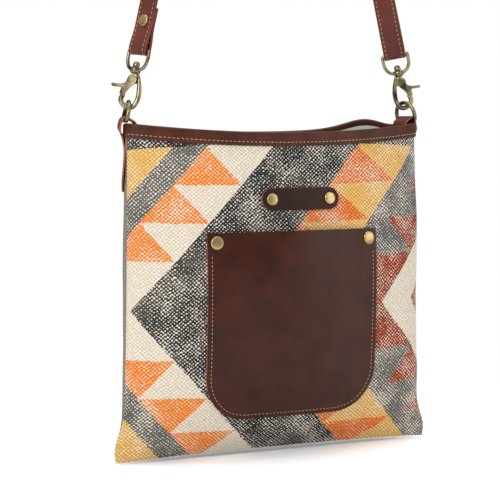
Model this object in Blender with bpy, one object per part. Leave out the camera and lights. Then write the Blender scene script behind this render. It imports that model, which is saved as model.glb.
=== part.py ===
"""A printed canvas crossbody bag with leather trim, hanging from its strap.

The bag is modelled upright in its own frame: z = 0 at the middle of its bottom edge, the front
facing -Y and y = 0 through both side rings. An empty then lowers everything, so that the world's
origin is the underside of the strap's top, where a hand or a peg holds the bag.
"""

import math

import bmesh
import bpy
from mathutils import Matrix, Vector

# Bag body
BAG_HEIGHT = 0.2885
RIM_END_RISE = 0.0080
CORNER_DROP = 0.003
HALF_WIDTH_TOP = 0.1475
HALF_WIDTH_MIDDLE = 0.1490
HALF_WIDTH_CORNER = 0.1610
FRONT_BULGE = 0.0395
BACK_BULGE = 0.0470
FRONT_RIM_BULGE = 0.0300
BACK_RIM_BULGE = 0.0410
SEAM_FORWARD = 0.009
CORNER_PINCH = 0.022
CANVAS = 0.0018
LINING = 0.0008
LINING_SLACK = 0.0009
FIT = 0.0003

# Leather trim
TRIM_LEATHER = 0.0014
BINDING_OUTER_DEPTH = 0.0110
BINDING_INNER_DEPTH = 0.0095
POCKET_WIDTH = 0.172
POCKET_HEIGHT = 0.1685
POCKET_BOTTOM = 0.0330
POCKET_CORNER_RADIUS = 0.040
POCKET_LEATHER = 0.0018
POCKET_FULLNESS = 0.0072
POCKET_HELD_FLAT = 0.84
STRIP_LENGTH = 0.078
STRIP_HEIGHT = 0.0200
STRIP_CENTRE_X = 0.0065
STRIP_CENTRE_Z = 0.2300
STRIP_LEATHER = 0.0020
TAB_LEATHER = 0.0016
TAB_HALF_WIDTH = 0.0082
TAB_TIP_HEIGHT = 0.2375
TAB_INNER_HEIGHT = 0.2700

# Rivets
POCKET_RIVET_DIAMETER = 0.0110
STRIP_RIVET_DIAMETER = 0.0098
STRAP_RIVET_DIAMETER = 0.0095
RIVET_DOME = 0.0018
RIVET_SHANK_DIAMETER = 0.0032
RIVET_HOLE_DIAMETER = 0.0038
POCKET_RIVET_INSET = 0.0088
STRIP_RIVET_INSET = 0.0095

# Side rings
RING_WIRE = 0.0038
RING_HALF_WIDTH = 0.0114
RING_LEG = 0.0056
RING_CORNER = 0.0025
RING_TURN = math.radians(15)
RING_LEAN = math.radians(12)

# Swivel clasps, sizes measured up from the middle of the bow's wire
LINK_PLAY = 0.0009
HOOK_WIRE = 0.0044
HOOK_THICKNESS = 0.0048
PIVOT_ACROSS = -0.0010
PIVOT_UP = 0.0250
BOSS_RADIUS = 0.0042
GATE_REACH = 0.0166
PIN_RADIUS = 0.0010
PIN_HEAD_RADIUS = 0.0021
PIN_HEAD_THICKNESS = 0.0006
SPRING_WIRE = 0.00045
SPRING_RADIUS = 0.0021
SPRING_TURNS = 1.2
SPRING_PITCH = 0.00056
LAYER_THICKNESS = 0.0015
FLANGE_UP = 0.0299
FLANGE_RADIUS = 0.0034
FLANGE_HEIGHT = 0.0010
HUB_HEIGHT = 0.0048
HUB_RADIUS = 0.0049
POST_RADIUS = 0.0020
HEAD_RADIUS = 0.0032
HEAD_HEIGHT = 0.0052
EYE_WIRE = 0.0032
EYE_HALF_WIDTH = 0.0121
EYE_BAR_UP = 0.0516
CLASP_LEAN = math.radians(13.4)
LEFT_HOOK_FACING = math.radians(-30)
RIGHT_HOOK_FACING = math.radians(-18)

# Strap
STRAP_WIDTH = 0.0200
STRAP_THICKNESS = 0.0024
STRAP_ARCH_RADIUS = 0.040
LEFT_STRAP_FACING = math.radians(-68)
RIGHT_STRAP_FACING = math.radians(140)
LEFT_TAIL = 0.039
RIGHT_TAIL = 0.075
LEFT_RIVET_UP = 0.0265
RIGHT_RIVET_UP = 0.0640

# Fineness of the curved surfaces
FRONT_GRID = (26, 16)
BACK_GRID = (24, 13)
LINING_GRID = (20, 10)
WIRE_SIDES = 8

HALF_GAP = FIT / 2
SEAM_Y = -SEAM_FORWARD
HUB_UP = FLANGE_UP + FLANGE_HEIGHT + FIT
HEAD_UP = HUB_UP + HUB_HEIGHT + FIT
RIM_TOP = BAG_HEIGHT + RIM_END_RISE + FIT + TRIM_LEATHER
RING_BAR_UP = RIM_TOP + FIT + RING_WIRE / 2
RING_RISE = RING_LEG + RING_HALF_WIDTH
BOW_BELOW_RING = (RING_WIRE + HOOK_WIRE) / 2 + LINK_PLAY


def clear_scene():
    for old in list(bpy.data.objects):
        bpy.data.objects.remove(old, do_unlink=True)


def finish(name, colour, roughness, metallic=0.0):
    """A plain Principled material."""
    made = bpy.data.materials.new(name)
    made.use_nodes = True
    shader = made.node_tree.nodes["Principled BSDF"]
    shader.inputs["Base Color"].default_value = (*colour, 1.0)
    shader.inputs["Roughness"].default_value = roughness
    shader.inputs["Metallic"].default_value = metallic
    made.diffuse_color = (*colour, 1.0)
    return made


def add_object(name, form, materials, place=Matrix(), parent=None, smooth_angle=40):
    """The bmesh form as a named object, set at place under its parent or the hanging frame."""
    bmesh.ops.recalc_face_normals(form, faces=form.faces)
    mesh = bpy.data.meshes.new(name)
    form.to_mesh(mesh)
    form.free()
    for used in materials:
        mesh.materials.append(used)
    mesh.shade_smooth()
    mesh.set_sharp_from_angle(angle=math.radians(smooth_angle))
    made = bpy.data.objects.new(name, mesh)
    bpy.context.scene.collection.objects.link(made)
    made.parent = parent or hanging_frame
    made.matrix_local = place
    return made


def combine(target, name, form, operation):
    """Adds the form to the target, or cuts it away, where it lies in the target's own axes."""
    helper = add_object(f"{target.name}_{name}", form, [], parent=target)
    helper.hide_render = True
    helper.display_type = "WIRE"
    step = target.modifiers.new(f"{operation.title()} {name}", "BOOLEAN")
    step.operation = operation
    step.object = helper


def through(stations, t):
    """Value at t of a smooth curve through (t, value) stations."""
    last = len(stations) - 2
    i = next((k for k in range(last) if t < stations[k + 1][0]), last)

    def slope(k):
        before, after = stations[max(k - 1, 0)], stations[min(k + 1, last + 1)]
        return (after[1] - before[1]) / (after[0] - before[0])

    (t0, v0), (t1, v1) = stations[i], stations[i + 1]
    span = t1 - t0
    s = (t - t0) / span
    return (
        v0 * (1 + 2 * s) * (1 - s) ** 2
        + v1 * s * s * (3 - 2 * s)
        + span * (slope(i) * s * (1 - s) ** 2 - slope(i + 1) * s * s * (1 - s))
    )


def smooth_path(points, count):
    """count points evenly along a smooth curve through the points."""
    lengths = [0.0]
    for here, there in zip(points, points[1:]):
        lengths.append(lengths[-1] + (Vector(there) - Vector(here)).length)
    axes = [[(s, p[k]) for s, p in zip(lengths, points)] for k in range(len(points[0]))]
    marks = [lengths[-1] * i / (count - 1) for i in range(count)]
    return [Vector([through(axis, mark) for axis in axes]) for mark in marks]


# Bag body: height is a share of the way from the bottom edge to the rim


def half_width(height):
    corner_swell = HALF_WIDTH_CORNER - HALF_WIDTH_MIDDLE
    return through(
        (
            (0.0, HALF_WIDTH_CORNER - 0.08 * corner_swell),
            (0.04, HALF_WIDTH_CORNER),
            (0.12, HALF_WIDTH_MIDDLE + 0.38 * corner_swell),
            (0.22, HALF_WIDTH_MIDDLE + 0.18 * corner_swell),
            (0.50, HALF_WIDTH_MIDDLE),
            (1.0, HALF_WIDTH_TOP),
        ),
        height,
    )


def bulge(side, height):
    """How far the front (side -1) or back (side 1) stands off the seam at mid width."""
    full, rim = (FRONT_BULGE, FRONT_RIM_BULGE) if side < 0 else (BACK_BULGE, BACK_RIM_BULGE)
    return through(
        (
            (0.0, 1.2 * CANVAS),
            (0.04, 0.34 * full),
            (0.09, 0.56 * full),
            (0.16, 0.76 * full),
            (0.27, 0.92 * full),
            (0.45, full),
            (0.62, full),
            (0.82, 0.45 * full + 0.55 * rim),
            (1.0, rim),
        ),
        height,
    )


def section_power(side, height):
    low, rim = (2.25, 2.0) if side < 0 else (2.6, 2.35)
    return low + (rim - low) * max(0.0, height - 0.5) * 2


def bottom_edge(x):
    return -CORNER_DROP * abs(x / HALF_WIDTH_CORNER) ** 3


def rim_edge(x):
    return BAG_HEIGHT + RIM_END_RISE * abs(x / HALF_WIDTH_TOP) ** 2


def height_share(x, z):
    return (z - bottom_edge(x)) / (rim_edge(x) - bottom_edge(x))


def skin(side, angle, height):
    """Point of the outer surface: angle 0 at the left seam, pi at the right one."""
    power = section_power(side, height)
    across = math.copysign(abs(math.cos(angle)) ** (2 / power), math.cos(angle))
    out = abs(math.sin(angle)) ** (2 / power)
    width = half_width(height)
    x = -width * across
    z = bottom_edge(x) + height * (rim_edge(x) - bottom_edge(x))
    near_corner = ((width - abs(x)) / CORNER_PINCH) ** 2 + ((z - 0.010) / CORNER_PINCH) ** 2
    pinched = 1 - 0.75 * math.exp(-near_corner)
    y = SEAM_Y + side * (HALF_GAP + bulge(side, height) * pinched * out)
    return Vector((x, y, z))


def skin_normal(side, angle, height):
    step = 1e-3
    low, high = max(angle - step, 0.0), min(angle + step, math.pi)
    down, up = max(height - step, 0.0), min(height + step, 1.0)
    along = skin(side, high, height) - skin(side, low, height)
    rise = skin(side, angle, up) - skin(side, angle, down)
    normal = along.cross(rise) * -side
    if low == 0.0 or high == math.pi:
        normal.y = 0.0
    return normal.normalized()


def layer(side, angle, height, lift):
    """Point of a layer that lies lift outside the skin, kept on its own side of the seam."""
    point = skin(side, angle, height) + skin_normal(side, angle, height) * lift
    limit = SEAM_Y + side * HALF_GAP
    point.y = min(point.y, limit) if side < 0 else max(point.y, limit)
    return point


def front_place(x, z):
    """(angle, height) on the front skin for a place seen from in front."""
    height = height_share(x, z)
    share = min(abs(x) / half_width(height), 1.0) ** (section_power(-1, height) / 2)
    return math.acos(math.copysign(share, -x)), height


def front_point(x, z, lift):
    angle, height = front_place(x, z)
    return skin(-1, angle, height) + skin_normal(-1, angle, height) * lift


def bag_heights(count, start=0.0, end=1.0):
    """Heights that lie closer together near the bottom, where the bag turns in."""
    return [start + (end - start) * (i / count) ** 1.35 for i in range(count + 1)]


def shell(outer, inner):
    """Closed solid between two equal grids of points."""
    form = bmesh.new()
    rows, columns = len(outer), len(outer[0])
    grids = [[[form.verts.new(p) for p in row] for row in grid] for grid in (outer, inner)]
    for grid in grids:
        for low, high in zip(grid, grid[1:]):
            for k in range(columns - 1):
                form.faces.new((low[k], low[k + 1], high[k + 1], high[k]))
    edges = [(0, k) for k in range(columns)] + [(j, columns - 1) for j in range(1, rows)]
    edges += [(rows - 1, k) for k in range(columns - 2, -1, -1)]
    edges += [(j, 0) for j in range(rows - 2, 0, -1)]
    for (j, k), (m, n) in zip(edges, edges[1:] + edges[:1]):
        form.faces.new((grids[0][j][k], grids[0][m][n], grids[1][m][n], grids[1][j][k]))
    return form


def seam_to_seam(columns):
    return [math.pi * k / columns for k in range(columns + 1)]


def panel_form(side, grid):
    angles, heights = seam_to_seam(grid[0]), bag_heights(grid[1])
    outer = [[layer(side, a, h, 0.0) for a in angles] for h in heights]
    inner = [[layer(side, a, h, -CANVAS) for a in angles] for h in heights]
    return shell(outer, inner)


def loft(sections, closed=False):
    """Solid through rings of equal count: end to end with caps, or joined round."""
    form = bmesh.new()
    rings = [[form.verts.new(p) for p in ring] for ring in sections]
    pairs = list(zip(rings, rings[1:]))
    if closed:
        pairs.append((rings[-1], rings[0]))
    for here, there in pairs:
        for k in range(len(here)):
            n = (k + 1) % len(here)
            form.faces.new((here[k], here[n], there[n], there[k]))
    if not closed:
        form.faces.new(rings[0])
        form.faces.new(rings[-1])
    return form


def wire(path, half_across, half_deep, flat_normal, sides=WIRE_SIDES, closed=False):
    """Rounded bar along a path that lies in the plane of flat_normal."""
    sections = []
    last = len(path) - 1
    for i, point in enumerate(path):
        before = path[i - 1] if i or closed else path[i]
        after = path[(i + 1) % len(path)] if i < last or closed else path[i]
        across = (after - before).cross(flat_normal).normalized()
        wide = half_across[i] if isinstance(half_across, list) else half_across
        ring = []
        for k in range(sides):
            turn = 2 * math.pi * (k + 0.5) / sides
            ring.append(
                point + across * wide * math.cos(turn) + flat_normal * half_deep * math.sin(turn)
            )
        sections.append(ring)
    return loft(sections, closed)


def turned(profile, sides=16):
    """Solid turned round Z from (radius, z) pairs that run from axis to axis."""
    form = bmesh.new()
    rings = []
    for radius, z in profile:
        if radius == 0:
            rings.append([form.verts.new((0, 0, z))])
            continue
        turns = [2 * math.pi * k / sides for k in range(sides)]
        rings.append(
            [form.verts.new((radius * math.cos(a), radius * math.sin(a), z)) for a in turns]
        )
    for here, there in zip(rings, rings[1:]):
        for k in range(sides):
            n = (k + 1) % sides
            corners = [here[k % len(here)], here[n % len(here)], there[n % len(there)]]
            corners.append(there[k % len(there)])
            form.faces.new(list(dict.fromkeys(corners)))
    return form


def tube_ring(outer, inner, low, high, sides=20):
    """Ring of rectangular section round Z."""
    turns = [2 * math.pi * k / sides for k in range(sides)]
    corners = ((outer, low), (outer, high), (inner, high), (inner, low))
    return loft(
        [[Vector((r * math.cos(a), r * math.sin(a), z)) for r, z in corners] for a in turns],
        closed=True,
    )


def moved(form, matrix):
    bmesh.ops.transform(form, matrix=matrix, verts=form.verts)
    return form


def facing(direction, point):
    """Matrix that sets a piece turned round Z at point, its top looking along direction."""
    return Matrix.Translation(point) @ direction.to_track_quat("Z", "Y").to_matrix().to_4x4()


def cylinder(radius, low, high, sides=12):
    return turned(((0, low), (radius, low), (radius, high), (0, high)), sides)


# Canvas body


def make_lining(canvas_lining):
    """Pouch inside the canvas, open at the top, its ends drawn in above the pinched corners."""
    top = 1 - (BINDING_INNER_DEPTH + 2 * FIT) / BAG_HEIGHT
    outer_lift = -CANVAS - LINING_SLACK
    inner_lift = outer_lift - LINING
    columns, rows_up = LINING_GRID
    angles = seam_to_seam(columns)

    def ring(height, lift):
        drawn_in = 0.21 * math.pi * max(0.0, 1 - height / 0.22)
        halves = []
        for side in (-1, 1):
            kept = [drawn_in + a * (1 - 2 * drawn_in / math.pi) for a in angles]
            if side > 0:
                kept.reverse()
            halves.append([layer(side, a, height, lift) for a in kept])
        return halves

    heights = bag_heights(rows_up, 0.022, top)
    form = bmesh.new()

    def place(heights_used, lift):
        made = []
        for height in heights_used:
            front, back = ring(height, lift)
            made.append([form.verts.new(p) for p in front + back])
        return made

    outer = place(heights, outer_lift)
    inner = place([heights[0] + LINING / BAG_HEIGHT] + heights[1:], inner_lift)
    for rows in (outer, inner):
        for low, high in zip(rows, rows[1:]):
            for k in range(len(low)):
                n = (k + 1) % len(low)
                form.faces.new((low[k], low[n], high[n], high[k]))
        last = len(rows[0]) - 1
        for k in range(columns):
            form.faces.new((rows[0][k], rows[0][k + 1], rows[0][last - k - 1], rows[0][last - k]))
    for k in range(len(outer[-1])):
        n = (k + 1) % len(outer[-1])
        form.faces.new((outer[-1][k], outer[-1][n], inner[-1][n], inner[-1][k]))
    return add_object("lining", form, [canvas_lining], parent=bag_frame)


def make_binding(name, side, columns, leather):
    """Leather folded over the canvas rim: an upside-down U swept along the rim."""
    outer, inner = FIT, -CANVAS - FIT
    cap = FIT + TRIM_LEATHER
    profile = (
        (outer, -BINDING_OUTER_DEPTH),
        (outer + TRIM_LEATHER, -BINDING_OUTER_DEPTH),
        (outer + TRIM_LEATHER, FIT),
        (outer, cap),
        (inner, cap),
        (inner - TRIM_LEATHER, FIT),
        (inner - TRIM_LEATHER, -BINDING_INNER_DEPTH),
        (inner, -BINDING_INNER_DEPTH),
        (inner, FIT),
        (outer, FIT),
    )
    sections = []
    for angle in seam_to_seam(columns):
        ring = []
        for lift, rise in profile:
            height = 1 + min(rise, 0.0) / BAG_HEIGHT
            point = layer(side, angle, height, lift)
            point.z += max(rise, 0.0)
            ring.append(point)
        sections.append(ring)
    return add_object(name, loft(sections), [leather], parent=bag_frame)


# Patches riveted to the front


def make_patch(name, rows_of_x, lifts, thickness, leather):
    """Leather that follows the front: rows of (x, z) places with their lift off the canvas."""
    inner = [[front_point(x, z, q) for (x, z), q in zip(r, w)] for r, w in zip(rows_of_x, lifts)]
    outer = [
        [front_point(x, z, q + thickness) for (x, z), q in zip(r, w)]
        for r, w in zip(rows_of_x, lifts)
    ]
    return add_object(name, shell(outer, inner), [leather], parent=bag_frame)


def pocket_swell(share):
    """1 in the middle of the pocket, 0 from its rivets out to its sewn sides."""
    return max(0.0, 1 - (share / POCKET_HELD_FLAT) ** 2) ** 1.2


def make_pocket(leather):
    columns, radius = 18, POCKET_CORNER_RADIUS
    turn_steps, straight_steps = 6, 6
    rises = [radius * (1 - math.cos(0.5 * math.pi * i / turn_steps)) for i in range(turn_steps)]
    left_over = POCKET_HEIGHT - radius
    rises += [radius + left_over * i / straight_steps for i in range(straight_steps + 1)]
    places, lifts = [], []
    for rise in rises:
        below = max(0.0, radius - rise)
        half = POCKET_WIDTH / 2 - radius + math.sqrt(radius**2 - below**2)
        if rise == 0:
            half += 0.002
        shares = [math.sin(0.5 * math.pi * (2 * k / columns - 1)) for k in range(columns + 1)]
        places.append([(half * s, POCKET_BOTTOM + rise) for s in shares])
        fuller = math.sin(0.5 * math.pi * min(1.0, rise / (0.55 * POCKET_HEIGHT)))
        lifts.append([FIT + POCKET_FULLNESS * fuller * pocket_swell(s) for s in shares])
    return make_patch("pocket", places, lifts, POCKET_LEATHER, leather)


def make_strip(leather):
    columns, rows, radius = 16, 4, STRIP_HEIGHT / 2
    places = []
    for j in range(rows + 1):
        rise = radius * math.sin(0.5 * math.pi * (2 * j / rows - 1))
        half = STRIP_LENGTH / 2 - radius + math.sqrt(max(radius**2 - rise**2, 0.0)) + 1e-4
        xs = [half * math.sin(0.5 * math.pi * (2 * k / columns - 1)) for k in range(columns + 1)]
        places.append([(STRIP_CENTRE_X + x, STRIP_CENTRE_Z + rise) for x in xs])
    lifts = [[FIT] * (columns + 1)] * (rows + 1)
    return make_patch("leather_strip", places, lifts, STRIP_LEATHER, leather)


def rivet_form(diameter, grip, sides=14):
    """Domed cap, shank and flat back cap, the cap's seat at z = 0 and the grip below it."""
    radius, shank = diameter / 2, RIVET_SHANK_DIAMETER / 2
    back = 0.8 * radius
    profile = [(0, RIVET_DOME)]
    profile += [
        (radius * math.sin(a), RIVET_DOME * (0.3 + 0.7 * math.cos(a)))
        for a in (math.radians(d) for d in (35, 65, 90))
    ]
    profile += [(radius, 0), (shank, 0), (shank, -grip)]
    profile += [(back, -grip), (back, -grip - 0.0006), (0.6 * back, -grip - 0.0010)]
    profile += [(0, -grip - 0.0010)]
    return turned(profile, sides)


def front_rivet(name, x, z, lift, diameter, pierced, brass):
    """Rivet through a patch, the canvas and the lining, with its hole in each."""
    angle, height = front_place(x, z)
    normal = skin_normal(-1, angle, height)
    seat = skin(-1, angle, height) + normal * (lift + FIT)
    grip = lift + CANVAS + LINING + LINING_SLACK + 3 * FIT
    place = facing(normal, seat)
    for piece in pierced:
        hole = cylinder(RIVET_HOLE_DIAMETER / 2, -grip - 0.004, 0.004, 10)
        combine(piece, f"hole_for_{name}", moved(hole, place), "DIFFERENCE")
    return add_object(name, rivet_form(diameter, grip), [brass], place, bag_frame)


# Side tabs and rings. side is -1 at the wearer's left end of the picture, 1 at the other


def tab_axes(side):
    """Outward and along directions of a side tab, which follow the bag's turned-in side."""
    outward = Vector((side * math.cos(RING_TURN), math.sin(RING_TURN), 0))
    along = Vector((-side * math.sin(RING_TURN), math.cos(RING_TURN), 0))
    return outward, along


def side_place(side):
    """Where the tab's middle meets the rim of the canvas."""
    power = section_power(1, 1.0)
    depth = (SEAM_FORWARD - HALF_GAP) / BACK_RIM_BULGE
    return Vector((side * HALF_WIDTH_TOP * (1 - depth**power) ** (1 / power), 0, 0))


def wall_reach(side, z, lift, pick):
    """Furthest (max) or nearest (min) the wall reaches across the tab at height z."""
    outward, along = tab_axes(side)
    middle = side_place(side)
    reaches = []
    for half in (-1, 1):
        for k in range(25):
            angle = math.pi * k / 60
            angle = angle if side < 0 else math.pi - angle
            height = min(height_share(side * HALF_WIDTH_TOP, z), 1.0)
            offset = layer(half, angle, height, lift) - middle
            offset.z = 0
            if offset.length > 0.03:
                continue
            if abs(offset.dot(along)) <= TAB_HALF_WIDTH + 0.0015:
                reaches.append(offset.dot(outward))
    return pick(reaches)


def make_tab(name, side, leather):
    """Leather strip over the ring's bar: leaf outside, bulging fold, straight leaf inside."""
    outward, along = tab_axes(side)
    middle = side_place(side)
    half = TAB_LEATHER / 2
    rim = BAG_HEIGHT + RIM_END_RISE
    skin_clear = FIT + half
    binding_clear = FIT + TRIM_LEATHER + FIT + half
    out_low = wall_reach(side, TAB_TIP_HEIGHT, 0, max) + skin_clear
    out_mid = wall_reach(side, TAB_TIP_HEIGHT + 0.03, 0, max) + skin_clear
    out_rim = wall_reach(side, rim, 0, max) + binding_clear
    inner_layers = -CANVAS - max(FIT + TRIM_LEATHER, LINING_SLACK + LINING)
    inner_heights = (rim - 0.005, rim - 0.010, rim - 0.015, rim - 0.020, TAB_INNER_HEIGHT)
    inside = min(wall_reach(side, z, inner_layers, min) for z in inner_heights) - 2 * FIT - half
    fold = RING_WIRE / 2 + 2 * FIT + half
    over = [(math.cos(a) * fold, RING_BAR_UP + math.sin(a) * fold) for a in (2.5, 1.9, 1.2, 0.5)]
    stations = (
        (inside, TAB_INNER_HEIGHT, 0.0060),
        (inside, TAB_INNER_HEIGHT + 0.012, TAB_HALF_WIDTH),
        (inside - 0.0005, rim - 0.006, TAB_HALF_WIDTH),
        (inside, rim + 0.002, TAB_HALF_WIDTH),
        *((u, z, TAB_HALF_WIDTH) for u, z in over),
        (out_rim + 0.0014, RING_BAR_UP - 0.0020, TAB_HALF_WIDTH),
        (out_rim + 0.0022, rim - 0.005, TAB_HALF_WIDTH),
        (out_rim + 0.0004, rim - BINDING_OUTER_DEPTH - 0.001, 0.0052),
        (out_mid + 0.0004, rim - 0.021, 0.0046),
        (out_mid, TAB_TIP_HEIGHT + 0.026, 0.0074),
        (out_low, TAB_TIP_HEIGHT + 0.010, 0.0058),
        (out_low, TAB_TIP_HEIGHT, 0.0018),
    )
    sections = []
    path = smooth_path([(u, z, w) for u, z, w in stations], 34)
    for i, (u, z, wide) in enumerate(path):
        before, after = path[max(i - 1, 0)], path[min(i + 1, len(path) - 1)]
        run = outward * (after[0] - before[0]) + Vector((0, 0, after[1] - before[1]))
        face = run.cross(along).normalized() * half
        centre = middle + outward * u + Vector((0, 0, z))
        edge = along * wide
        sections.append(
            (centre + edge + face, centre - edge + face, centre - edge - face, centre + edge - face)
        )
    return add_object(name, loft(sections), [leather], parent=bag_frame)


def ring_axes(side):
    """Origin at the middle of the ring's bar, X along the bar and Z up through the ring."""
    _, along = tab_axes(side)
    lean = Vector((-side * math.sin(RING_LEAN), 0, math.cos(RING_LEAN)))
    up = (lean - along * lean.dot(along)).normalized()
    origin = side_place(side) + Vector((0, 0, RING_BAR_UP))
    return Matrix.Translation(origin) @ Matrix((along, up.cross(along), up)).transposed().to_4x4()


def make_ring(name, side, brass):
    """D-shaped ring: straight bar in the tab, legs and a round top."""
    outline = []
    reach, corner = RING_HALF_WIDTH, RING_CORNER
    outline += [(reach * k / 4, 0) for k in range(-3, 4)]
    for k in range(1, 4):
        a = math.radians(30 * k)
        outline.append((reach - corner + corner * math.sin(a), corner * (1 - math.cos(a))))
    arc = [math.pi * k / 14 for k in range(15)]
    outline += [(reach * math.cos(a), RING_LEG + reach * math.sin(a)) for a in arc]
    for k in range(3, 0, -1):
        a = math.radians(30 * k)
        outline.append((-reach + corner - corner * math.sin(a), corner * (1 - math.cos(a))))
    path = [Vector((x, 0, z)) for x, z in outline]
    half = RING_WIRE / 2
    form = wire(path, half, half, Vector((0, 1, 0)), closed=True)
    return add_object(name, form, [brass], ring_axes(side), bag_frame)


# Swivel clasps


def clasp_axes(side, facing_angle):
    """Origin at the bow's wire under the ring, with X across, Y back and Z along the clasp."""
    ring = ring_axes(side)
    contact = ring.translation + ring.col[2].to_3d() * RING_RISE
    axis = Vector((-side * math.sin(CLASP_LEAN), 0, math.cos(CLASP_LEAN)))
    across = Vector((-side * math.cos(facing_angle), -side * math.sin(facing_angle), 0))
    across = (across - axis * across.dot(axis)).normalized()
    back = axis.cross(across)
    origin = contact - axis * BOW_BELOW_RING
    basis = Matrix((across, back, axis)).transposed().to_4x4()
    return Matrix.Translation(origin) @ basis


def hook_path():
    """Middle of the hook's body: spine, bow and nose, in the clasp's own plane."""
    points = (
        (0.0030, 0.0301),
        (0.0040, 0.0282),
        (0.0052, 0.0246),
        (0.0064, 0.0198),
        (0.0073, 0.0138),
        (0.0072, 0.0083),
        (0.0056, 0.0032),
        (0.0034, 0.0009),
        (0.0, 0.0),
        (-0.0034, 0.0009),
        (-0.0062, 0.0034),
        (-0.0074, 0.0064),
        (-0.0066, 0.0092),
    )
    return [Vector((x, 0, z)) for x, z in smooth_path(points, 28)]


def gate_outline():
    """Outline of the lever: boss, thumb piece and the gate arm that closes the bow."""
    boss = [
        (PIVOT_ACROSS + BOSS_RADIUS * math.cos(a), PIVOT_UP + BOSS_RADIUS * math.sin(a))
        for a in (math.radians(d) for d in range(-60, 170, 23))
    ]
    thumb = [(-0.0062, 0.0215), (-0.0090, 0.0197), (-0.0130, 0.0188), (-0.0176, 0.0186)]
    thumb += [(-0.0181, 0.0172), (-0.0172, 0.0161), (-0.0130, 0.0163), (-0.0096, 0.0166)]
    tip = [
        (PIVOT_ACROSS + GATE_REACH * math.cos(a), PIVOT_UP + GATE_REACH * math.sin(a))
        for a in (math.radians(d) for d in (241, 249, 257))
    ]
    arm = [(-0.0090, 0.0150), (-0.0094, 0.0124), *tip]
    arm += [(-0.0050, 0.0126), (-0.0034, 0.0170), (-0.0012, 0.0196)]
    return boss + thumb + arm


def slab(outline, low, high):
    """Outline in XZ given a thickness from low to high along Y."""
    return loft([[Vector((x, y, z)) for x, z in outline] for y in (low, high)])


def pivot_axes():
    """The lever's pivot in the clasp's axes, with Z forward along the pin."""
    turn = Matrix.Rotation(math.radians(90), 4, "X")
    return Matrix.Translation((PIVOT_ACROSS, 0, PIVOT_UP)) @ turn


def make_hook(name, place, brass):
    back = HOOK_THICKNESS / 2
    path = hook_path()
    wide = [HOOK_WIRE / 2 * (0.62 + 0.38 * min(1.0, i / 9)) for i in range(len(path))]
    form = wire(path, wide, HOOK_WIRE / 2, Vector((0, 1, 0)), sides=10)
    hook = add_object(name, form, [brass], place)
    cheek = cylinder(BOSS_RADIUS, -back, -back + LAYER_THICKNESS, 20)
    combine(hook, "cheek", moved(cheek, pivot_axes()), "UNION")
    web = slab(
        [(0.0006, 0.0220), (0.0052, 0.0220), (0.0046, 0.0290), (-0.0005, 0.0288)],
        back - LAYER_THICKNESS + 0.0001,
        back - 0.0001,
    )
    combine(hook, "web", web, "UNION")
    flange = cylinder(FLANGE_RADIUS, FLANGE_UP, FLANGE_UP + FLANGE_HEIGHT, 16)
    combine(hook, "flange", flange, "UNION")
    stud = turned(
        (
            (0, FLANGE_UP + FLANGE_HEIGHT / 2),
            (POST_RADIUS, FLANGE_UP + FLANGE_HEIGHT / 2),
            (POST_RADIUS, HEAD_UP),
            (0.8 * HEAD_RADIUS, HEAD_UP),
            (HEAD_RADIUS, HEAD_UP + 0.25 * HEAD_HEIGHT),
            (0.9 * HEAD_RADIUS, HEAD_UP + 0.65 * HEAD_HEIGHT),
            (0.5 * HEAD_RADIUS, HEAD_UP + 0.94 * HEAD_HEIGHT),
            (0, HEAD_UP + HEAD_HEIGHT),
        )
    )
    combine(hook, "stud", stud, "UNION")
    bore = cylinder(PIN_RADIUS + FIT, -back - 0.002, back + 0.002)
    combine(hook, "bore", moved(bore, pivot_axes()), "DIFFERENCE")
    return hook


def make_lever(name, hook, brass):
    """Lever in front of the hook's cheek, its thumb piece and arm as thick as the bow."""
    back = HOOK_THICKNESS / 2
    to_pivot = pivot_axes()
    form = moved(slab(gate_outline(), -back, back), to_pivot.inverted())
    lever = add_object(name, form, [brass], to_pivot, hook)
    relief = cylinder(BOSS_RADIUS + FIT, -back - 0.001, back - LAYER_THICKNESS, 20)
    combine(lever, "relief", relief, "DIFFERENCE")
    bore = cylinder(PIN_RADIUS + FIT, -back - 0.002, back + 0.002)
    combine(lever, "bore", bore, "DIFFERENCE")
    return lever


def make_pin(name, hook, brass):
    """Pivot pin with a flat head outside the lever and one outside the cheek."""
    end = HOOK_THICKNESS / 2 + FIT
    head = end + PIN_HEAD_THICKNESS
    profile = ((0, -head), (PIN_HEAD_RADIUS, -head), (PIN_HEAD_RADIUS, -end), (PIN_RADIUS, -end))
    profile += ((PIN_RADIUS, end), (PIN_HEAD_RADIUS, end), (PIN_HEAD_RADIUS, head), (0, head))
    return add_object(name, turned(profile, 12), [brass], pivot_axes(), hook)


def make_spring(name, hook, steel):
    """Flat coil round the pin, between the lever and the cheek."""
    steps, sides = 16, 5
    sections = []
    for i in range(steps + 1):
        turn = 2 * math.pi * SPRING_TURNS * i / steps
        centre = Vector((0, 0, SPRING_PITCH * SPRING_TURNS * (i / steps - 0.5)))
        out = Vector((math.cos(turn), math.sin(turn), 0))
        ring = []
        for k in range(sides):
            a = 2 * math.pi * k / sides
            lift = Vector((0, 0, math.sin(a)))
            ring.append(centre + out * SPRING_RADIUS + (out * math.cos(a) + lift) * SPRING_WIRE / 2)
        sections.append(ring)
    return add_object(name, loft(sections), [steel], pivot_axes(), hook)


def eye_axes(side, strap_facing):
    """Origin on the eye's bar, X along the bar, Y opposite to the strap's outer face."""
    hook = clasp_axes(side, 0.0)
    axis = hook.col[2].to_3d()
    outer = Vector((math.sin(strap_facing), -math.cos(strap_facing), 0))
    outer = (outer - axis * outer.dot(axis)).normalized()
    bar = outer.cross(axis) * -1
    origin = hook.translation + axis * EYE_BAR_UP
    return Matrix.Translation(origin) @ Matrix((bar, -outer, axis)).transposed().to_4x4()


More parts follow.
